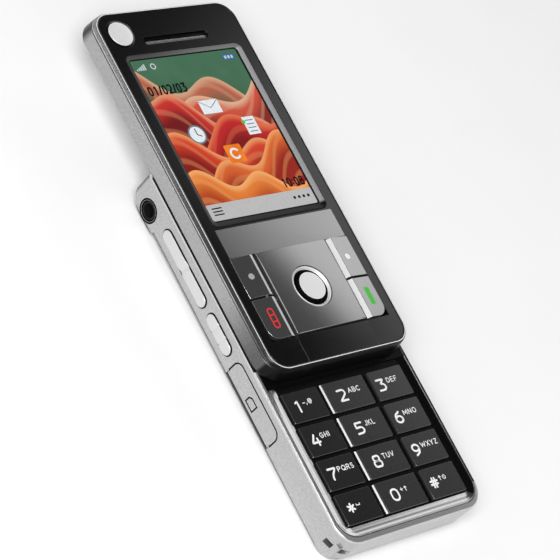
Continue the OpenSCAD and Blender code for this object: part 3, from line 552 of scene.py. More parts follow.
def strokes(name, lines, radius, z, body, mat, flat=0.05, res=3):
    """Round-ended flat strokes lying at height z, from lines of (x, y) points in millimetres."""
    lines = legs(lines)
    cu = bpy.data.curves.new(name, "CURVE")
    cu.dimensions = "3D"
    cu.bevel_depth = radius * MM
    cu.bevel_resolution = res
    cu.use_fill_caps = True
    for pts in lines:
        clean = [pts[0]]
        for p in pts[1:]:
            if math.dist(p, clean[-1]) > 1e-3:
                clean.append(p)
        closed = len(clean) > 3 and math.dist(clean[0], clean[-1]) < 2e-3
        if closed:
            clean = clean[:-1]
        sp = cu.splines.new("POLY")
        sp.points.add(len(clean) - 1)
        for q, p in zip(sp.points, clean):
            q.co = (p[0] * MM, p[1] * MM, 0, 1)
        sp.use_cyclic_u = closed
    tmp = bpy.data.objects.new(name + "_c", cu)
    coll.objects.link(tmp)
    bpy.context.view_layer.update()
    me = bpy.data.meshes.new_from_object(tmp.evaluated_get(bpy.context.evaluated_depsgraph_get()))
    bpy.data.objects.remove(tmp)
    # round end caps: discs at open ends and at corners keep the strokes full
    bm = bmesh.new()
    bm.from_mesh(me)
    for pts in lines:
        for p in (pts[0], pts[-1]):
            c = bmesh.ops.create_uvsphere(bm, u_segments=12, v_segments=6, radius=radius * MM)
            bmesh.ops.translate(bm, verts=c["verts"], vec=(p[0] * MM, p[1] * MM, 0))
        for a, b, c3 in zip(pts, pts[1:], pts[2:]):
            v1 = Vector((b[0] - a[0], b[1] - a[1]))
            v2 = Vector((c3[0] - b[0], c3[1] - b[1]))
            if v1.length > 1e-4 and v2.length > 1e-4 and v1.angle(v2) > 0.6:
                c = bmesh.ops.create_uvsphere(bm, u_segments=12, v_segments=6, radius=radius * MM)
                bmesh.ops.translate(bm, verts=c["verts"], vec=(b[0] * MM, b[1] * MM, 0))
    bmesh.ops.scale(bm, verts=bm.verts, vec=(1, 1, flat))
    bmesh.ops.translate(bm, verts=bm.verts, vec=(0, 0, z * MM))
    o = finish_mesh(bm, name, [mat], 60)
    return link(o, body)


def put(shape, x, y, w, h):
    return [[(x + p[0] * w, y + p[1] * h) for p in line] for line in shape]


def word(text, x, y, h, gap=0.34):
    out = []
    for ch in text:
        out += put(LET[ch], x, y, h, h)
        x += (WID.get(ch, 0.70) + gap) * h
    return out


TRIM_X = 6.500
PITCH = 8.74
ROWY = [LO - 15.17 - i * PITCH for i in range(4)]
COLX = {-1: -13.81, 0: 0.0, 1: 13.81}
LAY = [("key_1", "1", 0, -1, "-,@"), ("key_2", "2", 0, 0, "ABC"), ("key_3", "3", 0, 1, "DEF"),
       ("key_4", "4", 1, -1, "GHI"), ("key_5", "5", 1, 0, "JKL"), ("key_6", "6", 1, 1, "MNO"),
       ("key_7", "7", 2, -1, "PQRS"), ("key_8", "8", 2, 0, "TUV"), ("key_9", "9", 2, 1, "WXYZ"),
       ("key_star", "*", 3, -1, "_"), ("key_0", "0", 3, 0, "+^"), ("key_hash", "#", 3, 1, "^o")]
for node, ch, r, c, letters in LAY:
    cx, cy = COLX[c], ROWY[r]
    x0 = cx + {-1: -3.65, 0: -3.35, 1: -4.25}[c]
    y0 = cy - 1.42
    big = put(DIG[ch], x0 + 0.06, y0 + 0.04, 2.3, 2.4)
    top = 10.80
    strokes("legend_" + node, big, 0.25, top, node, M["white_ink"])
    if letters:
        lx = cx + {-1: -0.66, 0: -0.02, 1: -1.04}[c] + (0.2 if r == 0 and c >= 0 else 0.0)
        strokes("letters_" + node, word(letters, lx, cy + 0.2, 1.16, 0.42), 0.108, top, node, M["letter_ink"])


# ---------------------------------------------------- turned and swept parts
def rrp(a, b, r, n=12, cy=0.0):
    return [(x, y + cy) for x, y in ring(-a, -b, a, b, r, n)[:-1]]


def loft_rings(bm, sections, closed=True):
    """Skin through outlines [(points, z)], joined end to end when closed."""
    rows = [[bm.verts.new((x * MM, y * MM, z * MM)) for x, y in pts] for pts, z in sections]
    n = len(rows[0])
    m = len(rows)
    for j in range(m if closed else m - 1):
        a, b = rows[j], rows[(j + 1) % m]
        for i in range(n):
            bm.faces.new((a[i], a[(i + 1) % n], b[(i + 1) % n], b[i]))
    return rows


def display_ring():
    """Sloped bezel with round corners, running from the panel's face down to the picture."""
    bm = bmesh.new()
    o, c = UP + 12.68, UP + 13.21
    loft_rings(bm, [
        (rrp(18.42, 24.09, 1.97, 12, o), 15.12), (rrp(18.42, 24.09, 1.97, 12, o), 15.93), (rrp(18.38, 24.05, 1.93, 12, o), 15.97),
        (rrp(18.2, 23.87, 1.75, 12, o), 15.98), (rrp(18.05, 23.7, 1.6, 12, o + 0.02), 15.93), (rrp(17.5, 23.12, 1.2, 12, o + 0.27), 15.58), (rrp(17.21, 22.81, 0.95, 12, o + 0.4), 15.4),
        (rrp(16.97, 22.55, 0.75, 12, c - 0.02), 15.26), (rrp(16.86, 22.46, 0.6, 12, c), 15.2), (rrp(16.86, 22.46, 0.6, 12, c), 15.1)])
    # the ring's foot next to the picture is painted black as shade
    for f in bm.faces:
        if f.calc_center_median().z < 15.38 * MM:
            f.material_index = 1
    o2 = finish_mesh(bm, "display_ring_body", [look_of("display_ring"), M["groove"]], 30)
    link(o2, "slider")
    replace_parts(o2, "display_ring")


display_ring()


def lathe(name, profile, cx, cy, mats, body, node, n=96, sharp=40, paint=None):
    """Turned part from (radius, height) points, open on the axis only where the radius is 0."""
    bm = bmesh.new()
    rows = []
    for r, z in profile:
        if r < 1e-6:
            rows.append([bm.verts.new((cx * MM, cy * MM, z * MM))])
        else:
            rows.append([bm.verts.new(((cx + r * math.cos(2 * math.pi * i / n)) * MM, (cy + r * math.sin(2 * math.pi * i / n)) * MM, z * MM)) for i in range(n)])
    loop = profile[0][0] > 1e-6
    for j in range(len(rows) if loop else len(rows) - 1):
        a, b = rows[j], rows[(j + 1) % len(rows)]
        for i in range(n):
            k = (i + 1) % n
            if len(a) == 1:
                bm.faces.new((a[0], b[i], b[k]))
            elif len(b) == 1:
                bm.faces.new((a[i], a[k], b[0]))
            else:
                bm.faces.new((a[i], a[k], b[k], b[i]))
    if paint:
        for f in bm.faces:
            if paint(f.calc_center_median().z / MM):
                f.material_index = 1
    o = finish_mesh(bm, name, mats, sharp)
    link(o, body)
    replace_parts(o, node)
    return o


lathe("badge_disc_body", [(0, 15.6), (3.79, 15.6), (3.79, 15.94), (3.76, 15.962), (3.34, 15.964), (3.31, 15.97), (3.30, 16.04), (3.27, 16.08), (3.2, 16.1), (1.6, 16.1), (0, 16.1)],
      -15.85, UP + 42.95, [M["disc"], M["gloss_black"]], "slider", "badge_disc", sharp=50, paint=lambda c: c < 15.975)


def jack_highlight_line():
    """Thin painted highlight line on the slope of the headset socket's ring."""
    o = strokes("jack_ring_line", [arc(0, 0, 2.6, 2.6, 0, 360, 48)], 0.055, 0.0, "lower_half", M["ring_line"], flat=1.0)
    o.data.transform(Matrix(((0, 0, -1, -23.315 * MM), (1, 0, 0, 22.32 * MM), (0, 1, 0, 4.26 * MM), (0, 0, 0, 1))))


jack_highlight_line()
NY = UP - 30.7
ringp = [(4.06, 15.74), (5.3, 15.74), (5.3, 16.72), (5.27, 16.78), (5.2, 16.8), (5.13, 16.79), (5.08, 16.74), (5.02, 16.62), (4.94, 16.46),
         (4.84, 16.32), (4.72, 16.2), (4.58, 16.1), (4.42, 16.02), (4.26, 15.96), (4.12, 15.9), (4.06, 15.82)]
# the funnel's lower part is painted black as shade
lathe("select_ring_body", ringp, 0, NY, [M["ring"], M["black_ring_and_shade"]], "nav_plate", "select_ring", sharp=50, paint=lambda c: c < 16.17)
btn = [(0, 15.0), (3.9, 15.0), (3.9, 16.6), (3.84, 16.76), (3.72, 16.88), (3.6, 16.945), (3.5, 16.975)]
btn += [(3.5 * k / 8, 17.06 - 0.085 * (k / 8) ** 2) for k in range(7, 0, -1)] + [(0, 17.06)]
# the button's side below the dome is painted black as shade
lathe("select_key_body", btn, 0, NY, [M["button"], M["black_ring_and_shade"]], "select_key", "select_key", paint=lambda c: c < 16.92)


def nav_plate():
    """Slightly crowned square plate with the round seat of the ring."""
    bm = bmesh.new()
    cy = UP - 30.5
    edge = []
    for (x0, y0), (x1, y1) in (((10.95, -10.55), (10.95, 10.55)), ((10.55, 10.95), (-10.55, 10.95)), ((-10.95, 10.55), (-10.95, -10.55)), ((-10.55, -10.95), (10.55, -10.95))):
        edge += [(x0 + (x1 - x0) * i / 22, y0 + (y1 - y0) * i / 22) for i in range(23)]
        cx, cyy = (x1 - (0.4 if x1 > 0 else -0.4) * (abs(x1) > 10.9), y1 - (0.4 if y1 > 0 else -0.4) * (abs(y1) > 10.9))
        a0 = math.degrees(math.atan2(y1 - cyy, x1 - cx))
        edge += [(cx + 0.4 * math.cos(math.radians(a0 + t)), cyy + 0.4 * math.sin(math.radians(a0 + t))) for t in (22.5, 45.0, 67.5)]
    edge = [(ex, ey * 10.83 / 10.95) for ex, ey in edge]
    n = len(edge)

    def crown(x, y):
        return 16.83 - 0.085 * ((x / 11.0) ** 2 + (y / 11.0) ** 2)

    def row(f, z=None, grow=0.0):
        out = []
        for ex, ey in edge:
            a = math.atan2(ey + 0.2, ex)
            qx, qy = 5.34 * math.cos(a), -0.2 + 5.34 * math.sin(a)
            x, y = qx + (ex - qx) * f, qy + (ey - qy) * f
            if grow:
                x, y = ex * (1 + grow / 11), ey * (1 + grow / 11)
            out.append(bm.verts.new((x * MM, (cy + y) * MM, (crown(x, y) if z is None else z) * MM)))
        return out

    rows = []
    inner = []
    for z in (14.95, 15.72):
        inner.append([bm.verts.new((4.1 * math.cos(math.atan2(ey + 0.2, ex)) * MM, (cy - 0.2 + 4.1 * math.sin(math.atan2(ey + 0.2, ex))) * MM, z * MM)) for ex, ey in edge])
    rows += inner
    for r, z in ((5.335, 15.72), (5.335, 16.755), (5.35, 16.79), (5.385, None), (5.6, None)):
        c = []
        for ex, ey in edge:
            a = math.atan2(ey + 0.2, ex)
            x, y = r * math.cos(a), -0.2 + r * math.sin(a)
            c.append(bm.verts.new((x * MM, (cy + y) * MM, (crown(x, y) if z is None else z) * MM)))
        rows.append(c)
    rows += [row(f) for f in (0.12, 0.24, 0.36, 0.48, 0.6, 0.72, 0.84, 0.93, 0.98, 1.0)]
    rows.append(row(1.0, 16.60, 0.09))
    rows.append(row(1.0, 16.50, 0.12))
    rows.append(row(1.0, 14.95, 0.12))
    for a, b in zip(rows, rows[1:] + rows[:1]):
        for i in range(n):
            bm.faces.new((a[i], a[(i + 1) % n], b[(i + 1) % n], b[i]))
    o = finish_mesh(bm, "nav_plate_body", [M["nav"]], 34)
    link(o, "nav_plate")
    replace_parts(o, "nav_plate")


nav_plate()


def slider_frame():
    """Dark chamfered frame round the panel, with a painted highlight line on its crest and another on its lower outer
    edge.
    """
    bm = bmesh.new()
    sec = [(20.4, 47.0, 3.3, 12.9), (21.55, 48.15, 4.3, 12.7), (21.55, 48.15, 4.3, 14.88), (22.5, 49.16, 5.2, 14.9), (22.6, 49.26, 5.32, 14.95),
           (22.62, 49.28, 5.34, 15.05), (22.57, 49.245, 5.30, 15.2), (22.42, 49.14, 5.18, 15.56), (22.2, 48.98, 5.0, 15.86), (22.04, 48.86, 4.86, 15.965), (22.0, 48.82, 4.82, 15.985),
           (21.94, 48.77, 4.77, 16.0), (21.83, 48.67, 4.67, 16.0), (21.80, 48.64, 4.64, 15.985), (21.5, 48.44, 4.4, 15.98), (21.47, 48.41, 4.37, 15.95), (21.47, 48.41, 4.37, 15.0), (20.5, 47.1, 3.4, 14.98)]
    rows = loft_rings(bm, [(rrp(a, b, r, 16, UP), z) for a, b, r, z in sec])
    # rows 4-5 take the lower edge's painted highlight, rows 10-12 the crest's painted highlight, rows 13-15 gloss black
    inner = {4: 3, 5: 3, 10: 1, 11: 1, 12: 1, 13: 2, 14: 2, 15: 2}
    n = len(rows[0])
    bm.faces.ensure_lookup_table()
    for j, m in inner.items():
        for i in range(n):
            bm.faces[j * n + i].material_index = m
    o = finish_mesh(bm, "slider_frame_body", [M["frame"], M["edge"], M["gloss_black"], M["edge_side"]], 50)
    link(o, "slider")
    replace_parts(o, "slider_frame")


slider_frame()


def earpiece_mesh():
    """Bed of the slot painted black as shade, with a narrow band of gauze along its lower edge."""
    bm = bmesh.new()
    y = UP + 40.25
    rows = loft_rings(bm, [(rrp(10.1, 1.05, 1.0, 8, y), 15.2), (rrp(10.1, 1.05, 1.0, 8, y), 15.4), (rrp(9.9, 0.85, 0.8, 8, y), 15.45)], False)
    bm.faces.new(rows[0])
    bm.faces.new(rows[-1])
    n0 = len(bm.faces)
    rows = loft_rings(bm, [(rrp(9.6, 0.40, 0.36, 8, y - 0.46), 15.42), (rrp(9.6, 0.40, 0.36, 8, y - 0.46), 15.6),
                           (rrp(9.45, 0.27, 0.24, 8, y - 0.46), 15.68), (rrp(9.2, 0.11, 0.09, 8, y - 0.46), 15.72)], False)
    bm.faces.new(rows[0])
    bm.faces.new(rows[-1])
    bm.faces.ensure_lookup_table()
    for f in list(bm.faces)[n0:]:
        f.material_index = 1
    o = finish_mesh(bm, "earpiece_mesh_body", [M["base_black_and_shade"], M["gauze"]], 40)
    link(o, "slider")
    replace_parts(o, "earpiece_mesh")


earpiece_mesh()


def joint_shade_band(name, a, b, r, z0, z1, cy, body):
    """Thin black band of painted shade that fills the joint line between two shells."""
    bm = bmesh.new()
    loft_rings(bm, [(rrp(a, b, r, 16, cy), z0), (rrp(a, b, r, 16, cy), z1),
                    (rrp(a - 0.3, b - 0.3, r - 0.3, 16, cy), z1), (rrp(a - 0.3, b - 0.3, r - 0.3, 16, cy), z0)])
    return link(finish_mesh(bm, name, [M["groove"]], 30), body)


def rrt(a, b, r, rt, cy=0.0, n=12):
    """Rounded rectangle whose two corners on the +y side have their own radius."""
    p = []
    for sx, sy, q, c in ((1, 1, 0, rt), (-1, 1, 90, rt), (-1, -1, 180, r), (1, -1, 270, r)):
        p += arc(sx * (a - c), cy + sy * (b - c), c, c, q, q + 90, n)
    return p


# black band of painted shade in the joint line round the top of the lower half
def seam_lower_shade():
    bm = bmesh.new()
    loft_rings(bm, [(rrt(23.31, 49.71, 5.96, 1.46, LO), 9.93), (rrt(23.31, 49.71, 5.96, 1.46, LO), 10.09),
                    (rrt(23.0, 49.4, 5.6, 1.2, LO), 10.09), (rrt(23.0, 49.4, 5.6, 1.2, LO), 9.93)])
    return link(finish_mesh(bm, "seam_lower_shade", [M["groove"]], 30), "lower_half")


seam_lower_shade()
# black band of painted shade in the joint line between the slider's shell and its frame
joint_shade_band("seam_upper_shade", 22.46, 49.12, 5.16, 14.62, 14.92, UP, "slider")


def prism_y(name, section, y0, y1, mats, body, marks=(), sharp=30):
    """Piece of constant section along the phone; marks lists the sides that take the second material."""
    bm = bmesh.new()
    ra = [bm.verts.new((x * MM, y0 * MM, z * MM)) for x, z in section]
    rb = [bm.verts.new((x * MM, y1 * MM, z * MM)) for x, z in section]
    n = len(section)
    for i in range(n):
        f = bm.faces.new((ra[i], ra[(i + 1) % n], rb[(i + 1) % n], rb[i]))
        f.material_index = 1 if i in marks else 0
    bm.faces.new(ra)
    bm.faces.new(rb)
    o = finish_mesh(bm, name, mats, sharp)
    return link(o, body) if body else o


def prism_x(name, section, x0, x1, mats, body):
    """Strip of constant section across the phone, from (y, z) points."""
    bm = bmesh.new()
    ra = [bm.verts.new((x0 * MM, (LO + y) * MM, z * MM)) for y, z in section]
    rb = [bm.verts.new((x1 * MM, (LO + y) * MM, z * MM)) for y, z in section]
    n = len(section)
    for i in range(n):
        bm.faces.new((ra[i], ra[(i + 1) % n], rb[(i + 1) % n], rb[i]))
    bm.faces.new(ra)
    bm.faces.new(rb)
    return link(finish_mesh(bm, name, mats, 20), body)


# the flat cable's lower run stays on the lower half, its upper run and bend travel with the slider
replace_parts(prism_x("main_flex_lower", [(2, 7.52), (2.14, 7.52), (2.14, 10.62), (2.17, 10.68), (2.24, 10.7), (33.9, 10.7), (33.9, 10.84), (2.12, 10.84), (2.04, 10.8), (2, 10.72)],
                    -4, 4, [M["flex"]], "lower_half"), "main_flex")
prism_x("main_flex_upper", [(15.06, 11.93), (15.1, 11.85), (15.18, 11.81), (34, 11.81), (34.22, 11.73), (34.4, 11.6), (34.52, 11.46), (34.56, 11.3), (34.7, 11.3), (34.64, 11.52), (34.5, 11.7), (34.28, 11.87), (34, 11.95),
                            (15.2, 11.95), (15.2, 12.88), (15.06, 12.88)], -4, 4, [M["flex"]], "slider")

# black strips of painted shade fill the gap between the lower half's rim and the slider along both sides
for sd in (-1, 1):
    prism_y("slide_gap_shade_%s" % ("left" if sd < 0 else "right"),
            [(sd * x, z) for x, z in ((22.62, 10.73), (22.95, 10.73), (23.1, 10.5), (23.34, 10.5), (23.34, 10.86), (23.28, 10.93), (22.68, 10.93), (22.62, 10.88))],
            -25.2, 27.4, [M["groove"]], "lower_half")


def key_cap(name, node, y0, y1, dips, side=-1, zc=6.25):
    """Softly domed pill on the phone's side, with smooth dips across it, a stem and a flange behind the wall; the stem,
    flange and sides are painted black as shade.
    """
    bm = bmesh.new()
    top = 23.35 + 0.45
    sec = [(1.40, 21.4, 0), (2.15, 21.4, -0.5), (2.15, 21.75, -0.5), (1.40, 21.75, 0), (1.40, 22.1, 0), (1.65, 22.1, 0), (1.65, top - 0.27, 0), (1.62, top - 0.19, 0), (1.55, top - 0.11, 0),
           (1.44, top - 0.055, 0), (1.28, top - 0.02, 0), (1.0, top - 0.004, 0), (0.6, top, 0), (0.2, top, 0)]
    steps = max(8, int((y1 - y0 - 3.3) / 0.11))
    rows = []
    for r, x, grow in sec:
        a, b = y0 + 1.65 , y1 - 1.65
        lo, hi = a + min(0.0, grow), b - min(0.0, grow)
        pts = [(hi + r * math.cos(math.radians(t)), r * math.sin(math.radians(t))) for t in range(-90, 91, 10)]
        pts += [(hi + (lo - hi) * i / steps, r) for i in range(1, steps)]
        pts += [(lo - r * math.cos(math.radians(t)), r * math.sin(math.radians(t))) for t in range(90, -91, -10)]
        pts += [(lo + (hi - lo) * i / steps, -r) for i in range(1, steps)]
        row = []
        for y, z in pts:
            q = x
            if x > 23.4:
                for dy, depth, half in dips:
                    t = abs(y - dy) / half
                    if t < 1:
                        q -= depth * (0.5 + 0.5 * math.cos(math.pi * t)) * min(1.0, (x - 23.35) / 0.35)
            row.append(bm.verts.new((side * q * MM, (LO + y) * MM, (zc + z) * MM)))
        rows.append(row)
    n = len(rows[0])
    for ra, rb in zip(rows, rows[1:]):
        for i in range(n):
            bm.faces.new((ra[i], ra[(i + 1) % n], rb[(i + 1) % n], rb[i]))
    # the back is one face; the top closes along its spine
    last = rows[-1]
    bm.faces.new(rows[0])
    for k in range(steps):
        bm.faces.new((last[18 + k], last[19 + k], last[(35 + 2 * steps - k) % n], last[(36 + 2 * steps - k) % n]))
    bm.faces.new([last[k] for k in range(19)])
    bm.faces.new([last[k] for k in range(18 + steps, 37 + steps)])
    bm.faces.ensure_lookup_table()
    # the first seven rows of faces, the stem, flange and sides, are painted black as shade
    for k in range(7 * n):
        bm.faces[k].material_index = 1
    o = finish_mesh(bm, name, [look_of(node), M["groove"]], 48)
    link(o, BODY[node])
    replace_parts(o, node)


key_cap("volume_rocker_body", "volume_rocker", 15.55, 36.15, ((25.85, 0.34, 1.25),))
key_cap("side_key_body", "side_key", 2.65, 13.35, ((6.3, 0.16, 0.42), (9.7, 0.16, 0.42)))
key_cap("camera_key_body", "camera_key", -30.9, -20.1, (), 1)


def keypad_trims():
    """Strips beside the middle column: on the left strips only an upper slope and the top are bright, and their other
    faces and the right strips are painted black as shade.
    """
    bm = bmesh.new()
    w = TRIM_X
    for sd in (-1, 1):
        sec = [(w + 0.14, 10.1), (w + 1.0, 10.1), (w + 0.95, 10.2), (w + 0.60, 10.425), (w + 0.3, 10.62), (w + 0.14, 10.62)]
        for r in range(4):
            y = ROWY[r]
            ra = [bm.verts.new((sd * x * MM, (y - 3.7) * MM, z * MM)) for x, z in sec]
            rb = [bm.verts.new((sd * x * MM, (y + 3.7) * MM, z * MM)) for x, z in sec]
            for i in range(6):
                f = bm.faces.new((ra[i], ra[(i + 1) % 6], rb[(i + 1) % 6], rb[i]))
                # painted shade: every face except the left strips' upper slope and top takes black
                f.material_index = 0 if sd < 0 and i in (3, 4) else 1
            for cap in (ra, rb):
                bm.faces.new(cap).material_index = 1
    o = finish_mesh(bm, "keypad_trims_body", [M["flank"], M["base_black_and_shade"]], 20)
    link(o, "lower_half")
    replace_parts(o, "keypad_trims")


keypad_trims()


def door_gap_shade():
    """Black band of painted shade in the card opening along the door's upper edge and ends."""
    bm = bmesh.new()
    cy = LO - 10.05
    path_i, path_o = [], []
    for q, lst, d in ((0, path_i, -0.02), (1, path_o, 0.36)):
        a, b, r = 10.0 + d, 2.75 + d, 2.0 + d
        lst += [(-a, 3.7 - 5.4)]
        lst += [(-(a - r) - r * math.cos(math.radians(t)), (b - r) + r * math.sin(math.radians(t))) for t in range(0, 91, 9)]
        lst += [((a - r) + r * math.cos(math.radians(t)), (b - r) + r * math.sin(math.radians(t))) for t in range(90, -1, -9)]
        lst += [(a, 3.7 - 5.4)]
    n = len(path_i)
    rows = []
    for x, path in ((-23.372, path_i), (-23.372, path_o), (-22.9, path_o), (-22.9, path_i)):
        rows.append([bm.verts.new((x * MM, (cy + y) * MM, (5.4 + z) * MM)) for y, z in path])
    for a, b in zip(rows, rows[1:] + rows[:1]):
        for i in range(n - 1):
            bm.faces.new((a[i], a[i + 1], b[i + 1], b[i]))
    bm.faces.new([r[0] for r in rows])
    bm.faces.new([r[-1] for r in rows])
    link(finish_mesh(bm, "card_door_gap_shade", [M["groove"]], 40), "lower_half")


door_gap_shade()


def sub_panel():
    bm = bmesh.new()
    rows = loft_rings(bm, [(rrp(18.65, 3.8, 0.25, 4, UP - 15.7), 15.95), (rrp(18.65, 3.8, 0.25, 4, UP - 15.7), 15.985),
                           (rrp(18.6, 3.75, 0.22, 4, UP - 15.7), 15.995)], False)
    bm.faces.new(rows[0])
    bm.faces.new(rows[-1])
    link(weighted(finish_mesh(bm, "panel_grey_inlay", [M["nav"]], 40)), "slider")


sub_panel()

# ------------------------------------------------------------- the display
SX, SY = 33.5, 44.7
DY = UP + 13.21


def picture():
    """Backlit picture: layered silky waves of warm colours under a green sky."""
    k = Net("display_picture_waves")
    sep = k.n("ShaderNodeSeparateXYZ")
    k.l(k.tc.outputs["Object"], sep.inputs[0])
    x = k.math("MULTIPLY", sep.outputs["X"], 1000.0)
    y = k.math("SUBTRACT", k.math("MULTIPLY", sep.outputs["Y"], 1000.0), DY)
    col = k.mix(k.remap(y, 2.0, 22.0, 0.0, 1.0, True), (0.030, 0.105, 0.050), (0.055, 0.150, 0.085))
    col = k.mix(k.remap(k.noise(90, 2.0), 0.4, 0.7, 0.0, 0.5), col, (0.085, 0.19, 0.11))
    waves = [
        # height, slope, amplitude, length, phase, depth, crest colour, colour, foot colour
        (13.5, -0.28, 3.4, 26.0, 0.4, 9.0, (0.62, 0.36, 0.22), (0.46, 0.12, 0.07), (0.10, 0.10, 0.05)),
        (8.5, 0.34, 3.8, 31.0, 2.6, 9.0, (0.70, 0.42, 0.27), (0.60, 0.08, 0.045), (0.22, 0.02, 0.015)),
        (5.0, -0.42, 3.0, 22.0, 4.4, 8.0, (0.74, 0.28, 0.15), (0.56, 0.03, 0.025), (0.16, 0.008, 0.008)),
        (0.5, 0.22, 3.6, 28.0, 1.0, 8.0, (0.72, 0.16, 0.07), (0.50, 0.018, 0.018), (0.20, 0.006, 0.008)),
        (-4.0, -0.20, 3.2, 24.0, 5.4, 8.0, (0.80, 0.30, 0.12), (0.62, 0.05, 0.02), (0.24, 0.010, 0.008)),
        (-8.5, 0.30, 2.6, 20.0, 3.2, 7.5, (0.82, 0.34, 0.12), (0.66, 0.12, 0.025), (0.30, 0.016, 0.008)),
        (-13.0, -0.16, 2.2, 18.0, 0.2, 8.0, (0.86, 0.40, 0.14), (0.74, 0.20, 0.035), (0.42, 0.05, 0.010)),
    ]
    for h, sl, am, ln, ph, dep, crest, mid, foot in waves:
        bend = k.math("MULTIPLY", k.math("SINE", k.math("ADD", k.math("MULTIPLY", x, 2 * math.pi / ln), ph)), am)
        edge = k.math("ADD", k.math("ADD", k.math("MULTIPLY", x, sl), h), bend)
        down = k.math("SUBTRACT", edge, y)
        body = k.mix(k.remap(down, 0.0, dep * 0.30, 0.0, 1.0, True), crest, mid)
        body = k.mix(k.remap(down, dep * 0.25, dep, 0.0, 1.0, True), body, foot)
        fold = k.math("SINE", k.math("ADD", k.math("MULTIPLY", k.math("ADD", down, k.math("MULTIPLY", x, sl * 1.6)), 1.15), ph))
        body = k.mix(k.remap(fold, 0.2, 1.0, 0.0, 0.30, True), body, crest)
        col = k.mix(k.remap(down, -0.10, 0.12, 0.0, 1.0, True), col, body)
    k.l(col, k.bsdf.inputs["Emission Color"])
    k.set(Base_Color=(0.0, 0.0, 0.0, 1), Roughness=0.25, Specular_IOR_Level=0.15, Emission_Strength=1.0)
    return k.m


def lit(name, c1, c2=None, scale=3000.0):
    """Backlit ink on the display."""
    k = Net(name)
    c2 = c2 or tuple(x * 0.88 for x in c1)
    g = k.remap(k.noise(scale, 2.0), 0.3, 0.7, 0.0, 1.0)
    k.l(k.mix(g, c1, c2), k.bsdf.inputs["Emission Color"])
    k.set(Base_Color=(0.0, 0.0, 0.0, 1), Roughness=0.3, Specular_IOR_Level=0.1, Emission_Strength=1.0)
    return k.m


L = {
    "pic": picture(), "bar": lit("screen_bar_grey", (0.52, 0.52, 0.52)), "black": lit("screen_black", (0.004, 0.004, 0.004)),
    "white": lit("screen_white", (0.88, 0.90, 0.92), (0.66, 0.74, 0.80)), "blue": lit("screen_blue", (0.03, 0.14, 0.34)),
    "orange": lit("screen_orange", (0.90, 0.24, 0.02), (0.75, 0.16, 0.01), 300), "green": lit("screen_green", (0.10, 0.55, 0.08)),
    "grey": lit("screen_grey", (0.16, 0.22, 0.26)), "pale": lit("screen_pale", (0.55, 0.62, 0.66)),
}


def slab(name, outline, z0, z1, body, mat):
    """Closed flat piece from an outline in millimetres."""
    bm = bmesh.new()
    a = [bm.verts.new((x * MM, y * MM, z0 * MM)) for x, y in outline]
    b = [bm.verts.new((x * MM, y * MM, z1 * MM)) for x, y in outline]
    bm.faces.new(a)
    bm.faces.new(b)
    n = len(outline)
    for i in range(n):
        bm.faces.new((a[i], a[(i + 1) % n], b[(i + 1) % n], b[i]))
    return link(finish_mesh(bm, name, [mat], 30), body)


def rr(x0, y0, x1, y1, r, n=6):
    return ring(x0, y0, x1, y1, r, n)[:-1]


slab("display_picture", rr(-SX / 2 - 0.1, DY - SY / 2 - 0.1, SX / 2 + 0.1, DY + SY / 2 + 0.1, 0.4), 15.075, 15.10, "slider", L["pic"])
slab("screen_soft_bar", rr(-SX / 2 - 0.1, DY - SY / 2 - 0.2, SX / 2 + 0.1, DY - SY / 2 + 4.3, 0.1), 15.102, 15.110, "slider", L["bar"])


def tile(name, pts, mat, z=15.112):
    return slab(name, [(x, DY + y) for x, y in pts], z, z + 0.006, "slider", mat)


def rod(name, lines, radius, mat, z=15.125):
    return strokes(name, [[(x, DY + y) for x, y in l] for l in lines], radius, z, "slider", mat, flat=0.03)


# status row: strength steps, a dot, a battery with bars
for i in range(5):
    tile("screen_signal_%d" % i, [(-15.9 + i * 0.62, 19.6), (-15.45 + i * 0.62, 19.6), (-15.45 + i * 0.62, 20.0 + i * 0.32), (-15.9 + i * 0.62, 20.0 + i * 0.32)], L["pale"])
rod("screen_status_ring", [[(x, y) for x, y in arc(-10.6, 20.4, 0.7, 0.7, 0, 360, 16)]], 0.16, L["pale"])
tile("screen_battery", rr(11.6, 19.6, 15.6, 21.2, 0.4), L["blue"])
for i in range(3):
    tile("screen_battery_bar_%d" % i, rr(12.2 + i * 1.05, 19.95, 12.9 + i * 1.05, 20.85, 0.15, 2), L["pale"], 15.12)

# date and clock as plain numbers
def number(text, x, y, w, h, gap):
    out = []
    for ch in text:
        if ch == "/":
            out += [[(x, y), (x + w * 0.5, y + h)]]
            x += w * 0.5 + gap
        elif ch == ":":
            out += [[(x, y + h * 0.25), (x + 0.02, y + h * 0.25)], [(x, y + h * 0.75), (x + 0.02, y + h * 0.75)]]
            x += gap * 1.2
        else:
            out += put(DIG[ch], x, y, w, h / 1.12)
            x += w + gap
    return out


rod("screen_date", number("01/02/03", -15.7, 12.6, 1.02, 2.2, 0.62), 0.25, L["black"])
rod("screen_clock", number("10:08", 9.3, -16.9, 1.02, 2.1, 0.62), 0.24, L["black"])

# soft bar with two plain signs
rod("screen_sign_left", [[(-15.4, -20.9 + i * 0.85), (-12.6, -20.9 + i * 0.85)] for i in range(3)], 0.17, L["black"])
rod("screen_sign_right", [[(10.6 + i * 1.5, -20.05), (10.62 + i * 1.5, -20.05)] for i in range(4)], 0.42, L["black"])

